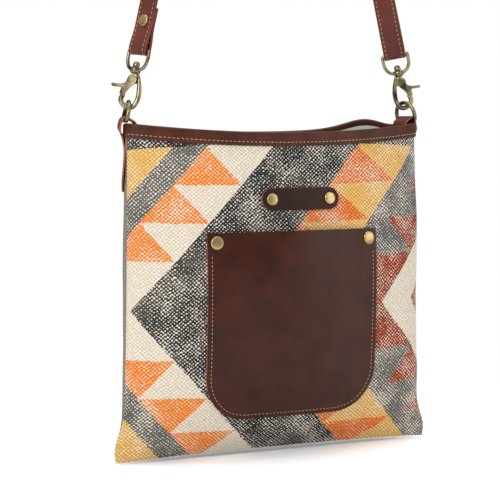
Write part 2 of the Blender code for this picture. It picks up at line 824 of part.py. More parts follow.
def make_eye(name, place, brass):
    """D-shaped eye on a hub that turns on the hook's stud."""
    low = HUB_UP - EYE_BAR_UP
    middle = low + HUB_HEIGHT / 2
    reach = EYE_HALF_WIDTH
    corner = 0.0022
    half_path = [(0.0036, middle), (0.0084, middle + 0.0022), (reach - 0.0008, middle + 0.0066)]
    half_path += [(reach, middle + 0.0115), (reach, -corner)]
    right = [Vector((x, 0, z)) for x, z in smooth_path(half_path, 11)]
    for k in range(1, 4):
        a = math.radians(30 * k)
        right.append(Vector((reach - corner * (1 - math.cos(a)), 0, -corner * (1 - math.sin(a)))))
    left = [Vector((-p.x, 0, p.z)) for p in reversed(right)]
    form = wire(right + left, EYE_WIRE / 2, EYE_WIRE / 2, Vector((0, 1, 0)))
    eye = add_object(name, form, [brass], place)
    hub = tube_ring(HUB_RADIUS, POST_RADIUS + FIT, low, low + HUB_HEIGHT)
    combine(eye, "hub", hub, "UNION")
    return eye


# Strap


def fold_stations(place, tail, rivet_up, outer_side):
    """Middle line and facing of the strap's end, from the tail's tip round the eye's bar."""
    axis, bar = place.col[2].to_3d(), place.col[0].to_3d()
    outer = place.col[1].to_3d() * -1
    close = STRAP_THICKNESS / 2 + HALF_GAP
    round_bar = EYE_WIRE / 2 + FIT + STRAP_THICKNESS / 2
    start = 0.003

    def spread(up):
        share = min(max((up - start) / (rivet_up * 0.8 - start), 0.0), 1.0)
        return round_bar + (close - round_bar) * share * share * (3 - 2 * share)

    tail_ups = [tail + (start - tail) * i / 9 for i in range(10)]
    flat = [(-spread(up), up) for up in tail_ups]
    turn = [math.pi * k / 8 for k in range(1, 8)]
    flat += [(-round_bar * math.cos(a), -round_bar * math.sin(a)) for a in turn]
    flat += [(spread(up), up) for up in reversed(tail_ups)]
    points = [place.translation + outer * n + axis * up for n, up in flat]
    return points, bar * outer_side, outer


def strap_arch(left_start, right_start):
    """Height of the arch's centre, from the legs' start and lean."""
    reach = STRAP_ARCH_RADIUS * math.cos(CLASP_LEAN)
    half_span = (right_start.x - left_start.x) / 2
    level = (left_start.z + right_start.z) / 2
    rise = (half_span - reach) / math.tan(CLASP_LEAN)
    return level + rise - STRAP_ARCH_RADIUS * math.sin(CLASP_LEAN)


def make_strap(left_place, right_place, leather):
    """One length of leather: left fold, leg, arch over the hand or peg, leg and right fold."""
    left, left_edge, left_out = fold_stations(left_place, LEFT_TAIL, LEFT_RIVET_UP, 1)
    right, right_edge, right_out = fold_stations(right_place, RIGHT_TAIL, RIGHT_RIVET_UP, -1)
    arch_z = strap_arch(left[-1], right[-1])
    centre = Vector((0, 0, arch_z))
    swing = math.pi / 2 + (math.pi / 2 - CLASP_LEAN)
    arch = []
    for i in range(13):
        a = swing + (math.pi - 2 * swing) * i / 12
        arch.append(centre + Vector((math.cos(a), 0, math.sin(a))) * STRAP_ARCH_RADIUS)
    edge_at_arch = Vector((0, -1, 0))
    stations = [(point, left_edge) for point in left]
    for i in range(1, 14):
        share = i / 14
        edge = left_edge.lerp(edge_at_arch, share)
        stations.append((left[-1].lerp(arch[0], share), edge))
    stations += [(point, edge_at_arch) for point in arch]
    for i in range(1, 14):
        share = i / 14
        edge = edge_at_arch.lerp(right_edge, share)
        stations.append((arch[-1].lerp(right[-1], share), edge))
    stations += [(point, right_edge) for point in reversed(right)]
    sections = []
    for i, (point, edge) in enumerate(stations):
        run = stations[min(i + 1, len(stations) - 1)][0] - stations[max(i - 1, 0)][0]
        edge = (edge - run * (edge.dot(run) / run.length_squared)).normalized()
        face = run.cross(edge).normalized() * STRAP_THICKNESS / 2
        half = edge * STRAP_WIDTH / 2
        sections.append(
            (point + half + face, point - half + face, point - half - face, point + half - face)
        )
    hang_height = arch_z + STRAP_ARCH_RADIUS - STRAP_THICKNESS / 2
    return add_object("strap", loft(sections), [leather]), hang_height


def strap_rivet(name, place, rivet_up, strap, brass):
    """Rivet through both layers of the strap's folded end."""
    axis, outer = place.col[2].to_3d(), place.col[1].to_3d() * -1
    grip = 2 * STRAP_THICKNESS + 3 * FIT
    seat = place.translation + axis * rivet_up + outer * grip / 2
    hole = cylinder(RIVET_HOLE_DIAMETER / 2, -grip - 0.003, 0.003, 10)
    combine(strap, f"hole_for_{name}", moved(hole, facing(outer, seat)), "DIFFERENCE")
    form = rivet_form(STRAP_RIVET_DIAMETER, grip)
    return add_object(name, form, [brass], facing(outer, seat))


def build():
    """Makes every piece and returns the height of the strap's underside where it hangs."""
    charcoal = finish("charcoal print", (0.022, 0.026, 0.030), 0.9)
    canvas_back = finish("grey canvas", (0.36, 0.35, 0.31), 0.9)
    lining_cloth = finish("lining", (0.48, 0.50, 0.45), 0.9)
    rim_leather = finish("rim leather", (0.075, 0.022, 0.014), 0.45)
    pocket_leather = finish("pocket leather", (0.055, 0.014, 0.006), 0.25)
    strap_leather = finish("strap leather", (0.13, 0.040, 0.030), 0.5)
    brass = finish("antique brass", (0.26, 0.19, 0.09), 0.35, 1.0)
    steel = finish("spring steel", (0.30, 0.29, 0.27), 0.35, 1.0)

    front = add_object("front_panel", panel_form(-1, FRONT_GRID), [charcoal], parent=bag_frame)
    add_object("back_panel", panel_form(1, BACK_GRID), [canvas_back], parent=bag_frame)
    lining = make_lining(lining_cloth)
    make_binding("front_binding", -1, FRONT_GRID[0], rim_leather)
    make_binding("back_binding", 1, BACK_GRID[0], rim_leather)

    pocket = make_pocket(pocket_leather)
    rivet_x = POCKET_WIDTH / 2 - POCKET_RIVET_INSET
    rivet_z = POCKET_BOTTOM + POCKET_HEIGHT - POCKET_RIVET_INSET
    pocket_lift = FIT + POCKET_LEATHER
    for side, word in ((-1, "left"), (1, "right")):
        front_rivet(
            f"pocket_rivet_{word}",
            side * rivet_x,
            rivet_z,
            pocket_lift,
            POCKET_RIVET_DIAMETER,
            (pocket, front, lining),
            brass,
        )
    strip = make_strip(pocket_leather)
    for side, word in ((-1, "left"), (1, "right")):
        front_rivet(
            f"strip_rivet_{word}",
            STRIP_CENTRE_X + side * (STRIP_LENGTH / 2 - STRIP_RIVET_INSET),
            STRIP_CENTRE_Z,
            FIT + STRIP_LEATHER,
            STRIP_RIVET_DIAMETER,
            (strip, front, lining),
            brass,
        )

    eyes = []
    ends = (
        (-1, "left", LEFT_HOOK_FACING, LEFT_STRAP_FACING),
        (1, "right", RIGHT_HOOK_FACING, RIGHT_STRAP_FACING),
    )
    for side, word, hook_facing, strap_facing in ends:
        make_tab(f"side_tab_{word}", side, strap_leather)
        make_ring(f"d_ring_{word}", side, brass)
        hook = make_hook(f"hook_{word}", clasp_axes(side, hook_facing), brass)
        make_lever(f"trigger_{word}", hook, brass)
        make_pin(f"trigger_pin_{word}", hook, brass)
        make_spring(f"trigger_spring_{word}", hook, steel)
        eyes.append(eye_axes(side, strap_facing))
        make_eye(f"swivel_eye_{word}", eyes[-1], brass)
    strap, hang_height = make_strap(*eyes, strap_leather)
    strap_rivet("strap_rivet_left", eyes[0], LEFT_RIVET_UP, strap, brass)
    strap_rivet("strap_rivet_right", eyes[1], RIGHT_RIVET_UP, strap, brass)
    return hang_height


def add_empty(name, location, parent=None):
    made = bpy.data.objects.new(name, None)
    bpy.context.scene.collection.objects.link(made)
    made.location = location
    made.parent = parent
    return made


clear_scene()
swing_axis = clasp_axes(1, 0.0).translation * Vector((0, 1, 1))
hanging_frame = add_empty("hanging_frame", (0, 0, 0))
swing_frame = add_empty("bag_swing", swing_axis, hanging_frame)
bag_frame = add_empty("bag_frame", -swing_axis, swing_frame)
hanging_frame.location.z = -build()
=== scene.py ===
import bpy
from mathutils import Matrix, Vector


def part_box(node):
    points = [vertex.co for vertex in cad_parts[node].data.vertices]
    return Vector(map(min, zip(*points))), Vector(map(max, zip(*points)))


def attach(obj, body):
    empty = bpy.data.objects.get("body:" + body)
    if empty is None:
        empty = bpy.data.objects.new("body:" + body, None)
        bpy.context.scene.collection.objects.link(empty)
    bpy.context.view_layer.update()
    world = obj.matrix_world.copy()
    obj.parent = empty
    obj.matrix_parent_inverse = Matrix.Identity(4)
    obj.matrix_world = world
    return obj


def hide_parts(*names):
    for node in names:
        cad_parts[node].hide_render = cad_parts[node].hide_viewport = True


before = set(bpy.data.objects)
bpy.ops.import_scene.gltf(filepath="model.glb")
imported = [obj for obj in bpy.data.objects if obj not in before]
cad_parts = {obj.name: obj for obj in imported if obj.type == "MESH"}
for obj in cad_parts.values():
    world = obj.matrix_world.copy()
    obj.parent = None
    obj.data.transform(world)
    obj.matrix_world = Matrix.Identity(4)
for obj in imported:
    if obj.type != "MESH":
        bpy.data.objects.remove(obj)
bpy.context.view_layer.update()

# %% Modules and sizes
from math import acos, copysign, cos, exp, pi, radians, sin, sqrt, tan

import bmesh
import bpy
from mathutils import Matrix, Vector, noise

BAG_HEIGHT = 0.2885
RIM_END_RISE = 0.0080
CORNER_DROP = 0.003
HALF_WIDTH_TOP = 0.1475
HALF_WIDTH_MIDDLE = 0.1490
HALF_WIDTH_CORNER = 0.1610
FRONT_BULGE = 0.0395
BACK_BULGE = 0.0470
FRONT_RIM_BULGE = 0.0300
BACK_RIM_BULGE = 0.0410
SEAM_Y = -0.009
CORNER_PINCH = 0.022
BACK_RIM_RISE = 0.0088
BACK_RIM_RISE_X = 0.120
BACK_RIM_RISE_SPREAD = 0.034
PRINT_MIDDLE = 0.131
WIDE_SLACK = 0.0027
FINE_SLACK = 0.0012
CANVAS = 0.0018
LINING = 0.0008
LINING_SLACK = 0.0009
FIT = 0.0003
HALF_GAP = FIT / 2
TRIM_LEATHER = 0.0014
BINDING_OUTER_DEPTH = 0.0110
BINDING_INNER_DEPTH = 0.0030
POCKET_WIDTH = 0.172
POCKET_HEIGHT = 0.1685
POCKET_BOTTOM = 0.0330
POCKET_CORNER = 0.040
POCKET_LEATHER = 0.0018
POCKET_FULLNESS = 0.0072
POCKET_HELD_FLAT = 0.84
STRIP_LENGTH = 0.078
STRIP_HEIGHT = 0.0200
STRIP_X = 0.0065
STRIP_Z = 0.2300
STRIP_LEATHER = 0.0020
TAB_LEATHER = 0.0016
TAB_HALF_WIDTH = 0.0082
TAB_TIP_HEIGHT = 0.2375
TAB_INNER_HEIGHT = 0.2700
TAB_STATIONS = 110
TAB_STEP = 0.0009
TAB_ROLL = radians(14)
RIVET_DOME = 0.0018
RIVET_SHANK = 0.0032
POCKET_RIVET_CAP = 0.0122
POCKET_RIVET_INSET = 0.0088
STRIP_RIVET_CAP = 0.0112
STRIP_RIVET_INSET = 0.0095
STRAP_RIVET_CAP = 0.0108
RING_WIRE = 0.0038
RING_REACH = 0.0114
RING_LEG = 0.0056
RING_CORNER = 0.0025
RING_TURN = radians(15)
RING_LEAN = radians(12)
HOOK_WIRE = 0.0044
LINK_PLAY = 0.0009
FLANGE_UP = 0.0299
HUB_UP = FLANGE_UP + 0.0010 + FIT
HUB_HEIGHT = 0.0048
HUB_RADIUS = 0.0049
POST_RADIUS = 0.0020
EYE_WIRE = 0.0032
EYE_REACH = 0.0121
EYE_BAR_UP = 0.0516
CLASP_LEAN = radians(13.4)
STRAP_WIDTH = 0.0200
STRAP_THICKNESS = 0.0024
STRAP_ARCH = 0.040
STRAP_FACINGS = (radians(-68), radians(140))
STRAP_TAILS = (0.039, 0.075)
STRAP_RIVETS = (0.0265, 0.0640)
RIM_TOP = BAG_HEIGHT + RIM_END_RISE + FIT + TRIM_LEATHER
RING_BAR_UP = RIM_TOP + FIT + RING_WIRE / 2
RING_RISE = RING_LEG + RING_REACH
DROP = Vector((0, 0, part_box("front_binding")[1][2] - RIM_TOP))
SIDES = ((-1, "left"), (1, "right"))
print("the bag's bottom edge lies at z =", round(DROP.z, 4))

# %% [markdown]
# The bag's outer surface is one function of a side (-1 in front, 1 at the back), an angle from the
# left seam to the right one and a share of the height. Every panel, binding and patch lies on it.

# %% Surface of the bag


def eased(t):
    t = min(max(t, 0.0), 1.0)
    return t * t * (3 - 2 * t)


def through(stations, t):
    """Value at t of a smooth curve through (t, value) stations."""
    last = len(stations) - 2
    i = next((k for k in range(last) if t < stations[k + 1][0]), last)

    def slope(k):
        before, after = stations[max(k - 1, 0)], stations[min(k + 1, last + 1)]
        return (after[1] - before[1]) / (after[0] - before[0])

    (t0, v0), (t1, v1) = stations[i], stations[i + 1]
    span = t1 - t0
    s = (t - t0) / span
    return (
        v0 * (1 + 2 * s) * (1 - s) ** 2
        + v1 * s * s * (3 - 2 * s)
        + span * (slope(i) * s * (1 - s) ** 2 - slope(i + 1) * s * s * (1 - s))
    )


def smooth_path(points, count):
    """count points evenly along a smooth curve through the points."""
    lengths = [0.0]
    for here, there in zip(points, points[1:]):
        lengths.append(lengths[-1] + (Vector(there) - Vector(here)).length)
    axes = [[(s, p[k]) for s, p in zip(lengths, points)] for k in range(len(points[0]))]
    marks = [lengths[-1] * i / (count - 1) for i in range(count)]
    return [Vector([through(axis, mark) for axis in axes]) for mark in marks]


def half_width(height):
    swell = HALF_WIDTH_CORNER - HALF_WIDTH_MIDDLE
    stations = (
        (0.0, HALF_WIDTH_CORNER - 0.08 * swell),
        (0.04, HALF_WIDTH_CORNER),
        (0.12, HALF_WIDTH_MIDDLE + 0.38 * swell),
        (0.22, HALF_WIDTH_MIDDLE + 0.18 * swell),
        (0.50, HALF_WIDTH_MIDDLE),
        (1.0, HALF_WIDTH_TOP),
    )
    return through(stations, height)


def bulge(side, height):
    full, rim = (FRONT_BULGE, FRONT_RIM_BULGE) if side < 0 else (BACK_BULGE, BACK_RIM_BULGE)
    stations = (
        (0.0, 1.2 * CANVAS),
        (0.04, 0.34 * full),
        (0.09, 0.56 * full),
        (0.16, 0.76 * full),
        (0.27, 0.92 * full),
        (0.45, full),
        (0.62, full),
        (0.82, 0.45 * full + 0.55 * rim),
        (1.0, rim),
    )
    return through(stations, height)


def section_power(side, height):
    low, rim = (2.25, 2.0) if side < 0 else (2.6, 2.35)
    return low + (rim - low) * max(0.0, height - 0.5) * 2


def bottom_edge(x):
    return -CORNER_DROP * abs(x / HALF_WIDTH_CORNER) ** 3


def rim_edge(x):
    return BAG_HEIGHT + RIM_END_RISE * abs(x / HALF_WIDTH_TOP) ** 2


def height_share(x, z):
    return (z - bottom_edge(x)) / (rim_edge(x) - bottom_edge(x))


def skin(side, angle, height):
    """Point of the outer surface: angle 0 at the left seam, pi at the right one."""
    power = section_power(side, height)
    across = copysign(abs(cos(angle)) ** (2 / power), cos(angle))
    out = abs(sin(angle)) ** (2 / power)
    width = half_width(height)
    x = -width * across
    z = bottom_edge(x) + height * (rim_edge(x) - bottom_edge(x))
    near_corner = ((width - abs(x)) / CORNER_PINCH) ** 2 + ((z - 0.010) / CORNER_PINCH) ** 2
    pinched = 1 - 0.75 * exp(-near_corner)
    y = SEAM_Y + side * (HALF_GAP + bulge(side, height) * pinched * out)
    if side > 0:
        near = exp(-(((x - BACK_RIM_RISE_X) / BACK_RIM_RISE_SPREAD) ** 2))
        swell = BACK_RIM_RISE * near * eased((y - 0.010) / 0.015)
        z += swell * max(0.0, (height - 0.8) / 0.2) ** 2
    return Vector((x, y, z))


def skin_normal(side, angle, height):
    step = 1e-3
    low, high = max(angle - step, 0.0), min(angle + step, pi)
    down, up = max(height - step, 0.0), min(height + step, 1.0)
    along = skin(side, high, height) - skin(side, low, height)
    rise = skin(side, angle, up) - skin(side, angle, down)
    normal = along.cross(rise) * -side
    if low == 0.0 or high == pi:
        normal.y = 0.0
    return normal.normalized()


def layer(side, angle, height, lift):
    """Point of a layer that lies lift outside the skin, kept on its own side of the seam."""
    point = skin(side, angle, height) + skin_normal(side, angle, height) * lift
    limit = SEAM_Y + side * HALF_GAP
    point.y = min(point.y, limit) if side < 0 else max(point.y, limit)
    return point


def front_place(x, z):
    """(angle, height) on the front skin for a place seen from in front."""
    height = height_share(x, z)
    share = min(abs(x) / half_width(height), 1.0) ** (section_power(-1, height) / 2)
    return acos(copysign(share, -x)), height


def front_point(x, z, lift):
    angle, height = front_place(x, z)
    return skin(-1, angle, height) + skin_normal(-1, angle, height) * lift


def bag_heights(count, start=0.0, end=1.0):
    """Heights that lie closer together near the bottom, where the bag turns in."""
    return [start + (end - start) * (i / count) ** 1.35 for i in range(count + 1)]


def even_angles(count):
    return [pi * k / count for k in range(count + 1)]


print("mid front stands", round(-skin(-1, pi / 2, 0.5).y * 1000, 1), "mm off the rings")

# %% [markdown]
# Each new piece is one mesh in the place where it hangs at rest. The point attribute "cloth" holds
# how far a point lies across and along the cloth or leather, in metres, for the materials to read.

# %% Mesh helpers


def link_object(name, data):
    made = bpy.data.objects.new(name, data)
    bpy.context.scene.collection.objects.link(made)
    return made


def add_piece(name, shape, body, materials, cloth=None, slots=None, sharp=50):
    """Piece from a shape: its points and faces."""
    points, faces = shape
    mesh = bpy.data.meshes.new(name)
    mesh.from_pydata([p + DROP for p in points], [], faces)
    for used in materials:
        mesh.materials.append(used)
    if slots:
        mesh.polygons.foreach_set("material_index", slots)
    if cloth is None:
        cloth = [(p.x, p.z, p.y) for p in points]
    made = mesh.attributes.new("cloth", "FLOAT_VECTOR", "POINT")
    made.data.foreach_set("vector", [value for place in cloth for value in place])
    form = bmesh.new()
    form.from_mesh(mesh)
    bmesh.ops.recalc_face_normals(form, faces=form.faces)
    form.to_mesh(mesh)
    form.free()
    mesh.shade_smooth()
    mesh.set_sharp_from_angle(angle=radians(sharp))
    piece = link_object(name, mesh)
    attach(piece, body)
    return piece


def replace_node(node, *details, **settings):
    """Fine piece that stands for a CAD node; the rest is as for add_piece."""
    piece = add_piece(f"fine_{node}", *details, **settings)
    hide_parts(node)
    return piece


def round_edges(piece, width):
    step = piece.modifiers.new("Rounded edges", "BEVEL")
    step.width = width
    step.segments = 2
    step.limit_method = "ANGLE"
    step.angle_limit = radians(50)


def two_sided(outer, inner):
    """Points, faces and slots of a solid between two equal grids; its rim has slot 1."""
    rows, columns = len(outer), len(outer[0])
    points = [p for row in outer for p in row] + [p for row in inner for p in row]
    half = rows * columns
    faces = []
    for j in range(rows - 1):
        for k in range(columns - 1):
            a = j * columns + k
            b = a + columns
            faces.append((a, a + 1, b + 1, b))
            faces.append((half + a, half + b, half + b + 1, half + a + 1))
    slots = [0] * len(faces)
    rim = [(0, k) for k in range(columns)] + [(j, columns - 1) for j in range(1, rows)]
    rim += [(rows - 1, k) for k in range(columns - 2, -1, -1)]
    rim += [(j, 0) for j in range(rows - 2, 0, -1)]
    for (j, k), (m, n) in zip(rim, rim[1:] + rim[:1]):
        a, b = j * columns + k, m * columns + n
        faces.append((a, b, half + b, half + a))
        slots.append(1)
    return points, faces, slots


def arc_places(grid, middle_row, middle_column):
    """(across, up, 0) of each grid point as lengths along the cloth from its middle lines."""
    rows, columns = len(grid), len(grid[0])
    across = [[0.0] * columns for _ in range(rows)]
    up = [[0.0] * columns for _ in range(rows)]
    for j in range(rows):
        for k in range(1, columns):
            across[j][k] = across[j][k - 1] + (grid[j][k] - grid[j][k - 1]).length
        start = across[j][middle_column]
        across[j] = [value - start for value in across[j]]
    for k in range(columns):
        for j in range(1, rows):
            up[j][k] = up[j - 1][k] + (grid[j][k] - grid[j - 1][k]).length
        start = up[middle_row][k]
        for j in range(rows):
            up[j][k] -= start
    return [(across[j][k], up[j][k], 0.0) for j in range(rows) for k in range(columns)]


def whole_turn(count):
    return [2 * pi * k / count for k in range(count)]


def loft(sections, closed=False):
    """Points and faces through rings of equal count, capped at both ends or joined round."""
    count = len(sections[0])
    points = [p for ring in sections for p in ring]
    faces = []
    for i in range(len(sections) - 1):
        for k in range(count):
            n = (k + 1) % count
            a, b = i * count, (i + 1) * count
            faces.append((a + k, a + n, b + n, b + k))
    last = (len(sections) - 1) * count
    if closed:
        faces += [(last + k, last + (k + 1) % count, (k + 1) % count, k) for k in range(count)]
    else:
        faces.append(tuple(range(count)))
        faces.append(tuple(range(last, last + count)))
    return points, faces


def wire(path, radius, flat_normal, sides=16, closed=False, wide=None):
    """Bar along a path in the plane of flat_normal: round, or as wide as wide says at each point."""
    sections = []
    last = len(path) - 1
    for i, point in enumerate(path):
        before = path[i - 1] if i or closed else path[i]
        after = path[(i + 1) % len(path)] if i < last or closed else path[i]
        across = (after - before).cross(flat_normal).normalized()
        across *= wide[i] if wide else radius
        deep = flat_normal * radius
        turns = whole_turn(sides)
        sections.append([point + across * cos(a) + deep * sin(a) for a in turns])
    return loft(sections, closed)


def turned(profile, sides=32):
    """Points and faces of a solid turned round Z from (radius, z) pairs."""
    sections = []
    for radius, z in profile:
        r = max(radius, 1e-5)
        turns = whole_turn(sides)
        sections.append([Vector((r * cos(a), r * sin(a), z)) for a in turns])
    return loft(sections)


def placed(shape, matrix):
    return [matrix @ p for p in shape[0]], shape[1]


def joined(*shapes):
    points, faces = [], []
    for more_points, more_faces in shapes:
        start = len(points)
        points += more_points
        faces += [tuple(start + i for i in face) for face in more_faces]
    return points, faces


def facing(direction, point):
    """Matrix that sets a piece turned round Z at point, its top looking along direction."""
    return Matrix.Translation(point) @ direction.to_track_quat("Z", "Y").to_matrix().to_4x4()


def stitches(rows, pitch=0.0040, length=0.0028, radius=0.00030):
    """Separate stitches along rows of (point, normal), each one dipping at both its ends."""
    shapes = []
    for row in rows:
        marks = [0.0]
        for (here, _), (there, _) in zip(row, row[1:]):
            marks.append(marks[-1] + (there - here).length)

        def at(mark, row=row, marks=marks):
            i = next((k for k in range(1, len(marks) - 1) if mark < marks[k]), len(marks) - 1)
            share = (mark - marks[i - 1]) / max(marks[i] - marks[i - 1], 1e-9)
            return row[i - 1][0].lerp(row[i][0], share), row[i - 1][1].lerp(row[i][1], share)

        count = int(marks[-1] / pitch)
        for n in range(count):
            middle = (n + 0.5) * marks[-1] / count
            sections = []
            for k in range(5):
                part = k / 4 - 0.5
                point, normal = at(middle + part * length)
                ahead = at(middle + part * length + 1e-4)[0] - point
                side = ahead.cross(normal).normalized()
                sunk = 0.5 - 1.28 * (2 * part) ** 2
                thick = radius * (1 - 0.55 * abs(2 * part) ** 3)
                centre = point + normal * radius * sunk
                turns = [side * cos(a) + normal * sin(a) for a in whole_turn(6)]
                sections.append([centre + turn * thick for turn in turns])
            shapes.append(loft(sections))
    return joined(*shapes)


def outlined(places, y=0):
    return [Vector((x, y, z)) for x, z in places]


def slab(outline, front, back):
    return loft([outlined(outline, front), outlined(outline, back)])


def flat_section(centre, edge, face):
    """Corners of a leather strip's section: edge is half its width, face half its thickness."""
    return centre + edge + face, centre - edge + face, centre - edge - face, centre + edge - face


def flat_cloth(run, half_width):
    corners = ((half_width, 0.0), (-half_width, 0.0), (-half_width, 0.002), (half_width, 0.002))
    return [(run, across, deep) for across, deep in corners]


def flat_slots(count):
    """Slots of a loft through count flat sections: its cut edges and ends have slot 1."""
    return [1 if k % 4 in (1, 3) else 0 for k in range(4 * (count - 1))] + [1, 1]


print("mesh helpers ready")

# %% Node helpers


def build_material(name):
    made = bpy.data.materials.new(name)
    made.use_nodes = True
    tree = made.node_tree
    return made, tree, tree.nodes["Principled BSDF"]


def new_node(tree, kind, **settings):
    made = tree.nodes.new(kind)
    for key, value in settings.items():
        setattr(made, key, value)
    return made


def tree_of(*values):
    """Node tree of the first socket among the values."""
    return next(v.id_data for v in values if isinstance(v, bpy.types.NodeSocket))


def feed(socket, value):
    if isinstance(value, bpy.types.NodeSocket):
        socket.id_data.links.new(value, socket)
    else:
        socket.default_value = value


def fill(node, values):
    """Link or set a node's inputs by name or number."""
    for label, value in values.items():
        feed(node.inputs[label], value)


def maths(operation, *values):
    made = new_node(tree_of(*values), "ShaderNodeMath", operation=operation)
    for socket, value in zip(made.inputs, values):
        feed(socket, value)
    return made.outputs[0]


def mixed(share, first, second, blend="MIX"):
    tree = tree_of(share, first, second)
    made = new_node(tree, "ShaderNodeMix", data_type="RGBA", blend_type=blend)
    fill(made, {"Factor": share, 6: first, 7: second})
    return made.outputs[2]


def ramp(value, low, high, start=0.0, end=1.0):
    made = new_node(value.id_data, "ShaderNodeMapRange", interpolation_type="SMOOTHSTEP")
    limits = {"From Min": low, "From Max": high, "To Min": start, "To Max": end}
    fill(made, {"Value": value, **limits})
    return made.outputs["Result"]


def cloud(vector, scale, detail=2.0, stretch=None):
    if stretch:
        scaled = new_node(vector.id_data, "ShaderNodeMapping")
        fill(scaled, {"Scale": stretch, "Vector": vector})
        vector = scaled.outputs[0]
    made = new_node(vector.id_data, "ShaderNodeTexNoise")
    fill(made, {"Vector": vector, "Scale": scale, "Detail": detail})
    return made.outputs[0]


def cloth_place(tree):
    return new_node(tree, "ShaderNodeAttribute", attribute_name="cloth").outputs["Vector"]


def start_group(name, inputs, outputs):
    group = bpy.data.node_groups.new(name, "ShaderNodeTree")
    for label, kind, value in inputs:
        made = group.interface.new_socket(label, in_out="INPUT", socket_type=kind)
        if value is not None:
            made.default_value = value
    for label, kind in outputs:
        group.interface.new_socket(label, in_out="OUTPUT", socket_type=kind)
    start = group.nodes.new("NodeGroupInput").outputs
    end = group.nodes.new("NodeGroupOutput")
    return group, start, end


def use_group(group, **values):
    made = new_node(tree_of(*values.values()), "ShaderNodeGroup", node_tree=group)
    fill(made, values)
    return made.outputs


def bump(shader, height, distance, strength=1.0):
    made = new_node(shader.id_data, "ShaderNodeBump")
    fill(made, {"Strength": strength, "Distance": distance, "Height": height})
    feed(shader.inputs["Normal"], made.outputs[0])


def rgb(code):
    """Linear colour of a written sRGB one."""
    parts = [int(code[i : i + 2], 16) / 255 for i in (0, 2, 4)]
    return (*[p / 12.92 if p <= 0.04045 else ((p + 0.055) / 1.055) ** 2.4 for p in parts], 1.0)


COLOR, VALUE, VECTOR = "NodeSocketColor", "NodeSocketFloat", "NodeSocketVector"
print("node helpers ready")

# %% [markdown]
# The canvas is a coarse plain weave: thread crossings stand up in staggered rows. Print sits on it
# unevenly, so that the pale yarn shows through at the crossings and in worn patches.

# %% Woven canvas group
weave, start, end = start_group(
    "woven_canvas",
    (("Place", VECTOR, None), ("Across", VALUE, 0.0040), ("Up", VALUE, 0.0034), ("Wear", VALUE, 0.5)),
    (("Bare", VALUE), ("Height", VALUE), ("Painted Shade", VALUE)),
)
wobble = new_node(weave, "ShaderNodeTexNoise")
fill(wobble, {"Vector": start["Place"], "Scale": 150.0})
shift = new_node(weave, "ShaderNodeVectorMath", operation="MULTIPLY_ADD")
fill(shift, {0: wobble.outputs["Color"], 1: (0.0042, 0.0030, 0.0), 2: start["Place"]})
parts = new_node(weave, "ShaderNodeSeparateXYZ")
feed(parts.inputs[0], shift.outputs[0])


def thread_wave(place, pitch):
    turns = maths("DIVIDE", place, pitch)
    return maths("COSINE", maths("MULTIPLY", turns, 2 * pi))


wave_across = thread_wave(parts.outputs[0], start["Across"])
wave_up = thread_wave(parts.outputs[1], start["Up"])
crossing = maths("MULTIPLY", wave_across, wave_up)
worn = cloud(start["Place"], 38.0, 3.0)
speck = cloud(start["Place"], 420.0, 2.0)
level = maths("MULTIPLY_ADD", maths("SUBTRACT", worn, 0.5), 2.6, crossing)
level = maths("MULTIPLY_ADD", maths("SUBTRACT", speck, 0.5), 2.4, level)
level = maths("ADD", level, maths("SUBTRACT", start["Wear"], 0.5))
bare = ramp(level, 0.35, 1.0)
height = maths("MULTIPLY_ADD", crossing, 0.5, 0.5)
# Painted shade: the colour is darkened down to 0.66 where the threads dip between the crossings.
weave_shade_and_leather_tone = ramp(crossing, -1.0, 1.0, 0.66, 1.0)
fill(end, {"Bare": bare, "Height": height, "Painted Shade": weave_shade_and_leather_tone})
print("woven_canvas:", len(weave.nodes), "nodes")

# %% [markdown]
# The print runs in slanted bands that mirror at the middle of the panel. Where a band holds
# triangles, each row of them splits along its own diagonal.

# %% Print group
PRINT_SLOPE = 1.07
PRINT_ROW = 0.034
MIDDLE_ROW = 0.044
PRINT_TOP = 0.1459
chevrons, start, end = start_group(
    "chevron_print", (("Place", VECTOR, None),), (("Color", COLOR), ("Dark", VALUE))
)
parts = new_node(chevrons, "ShaderNodeSeparateXYZ")
rough_edge = cloud(start["Place"], 260.0, 2.0)
edge_shift = maths("MULTIPLY_ADD", rough_edge, 0.0036, -0.0018)
feed(parts.inputs[0], start["Place"])
across = maths("ADD", parts.outputs[0], edge_shift)
up = maths("ADD", parts.outputs[1], edge_shift)
away = maths("ABSOLUTE", up)
slant = maths("SUBTRACT", across, maths("DIVIDE", away, PRINT_SLOPE))
row_place = maths("ABSOLUTE", maths("MINIMUM", up, PRINT_TOP))
row_place = maths("SUBTRACT", row_place, MIDDLE_ROW)
row = maths("FRACT", maths("DIVIDE", row_place, PRINT_ROW))
middle_row = maths("DIVIDE", away, MIDDLE_ROW)
middle_row = maths("MULTIPLY_ADD", middle_row, 0.72, 0.28)
is_middle = maths("LESS_THAN", away, MIDDLE_ROW)
row_mix = new_node(chevrons, "ShaderNodeMix", data_type="FLOAT")
fill(row_mix, {0: is_middle, 2: row, 3: middle_row})
row = row_mix.outputs[0]
CREAM = rgb("DACEBC")
CHARCOAL = rgb("24292D")
BAND_GREY = rgb("605E5B")
ORANGE = rgb("E58233")
DEEP_ORANGE = rgb("D66C26")
RUST = rgb("923A1E")
YELLOW = rgb("D8A754")


def triangles(first, second, low, high):
    along = maths("DIVIDE", maths("SUBTRACT", slant, low), high - low)
    far = maths("GREATER_THAN", maths("ADD", along, row), 1.0)
    return mixed(far, first, second)


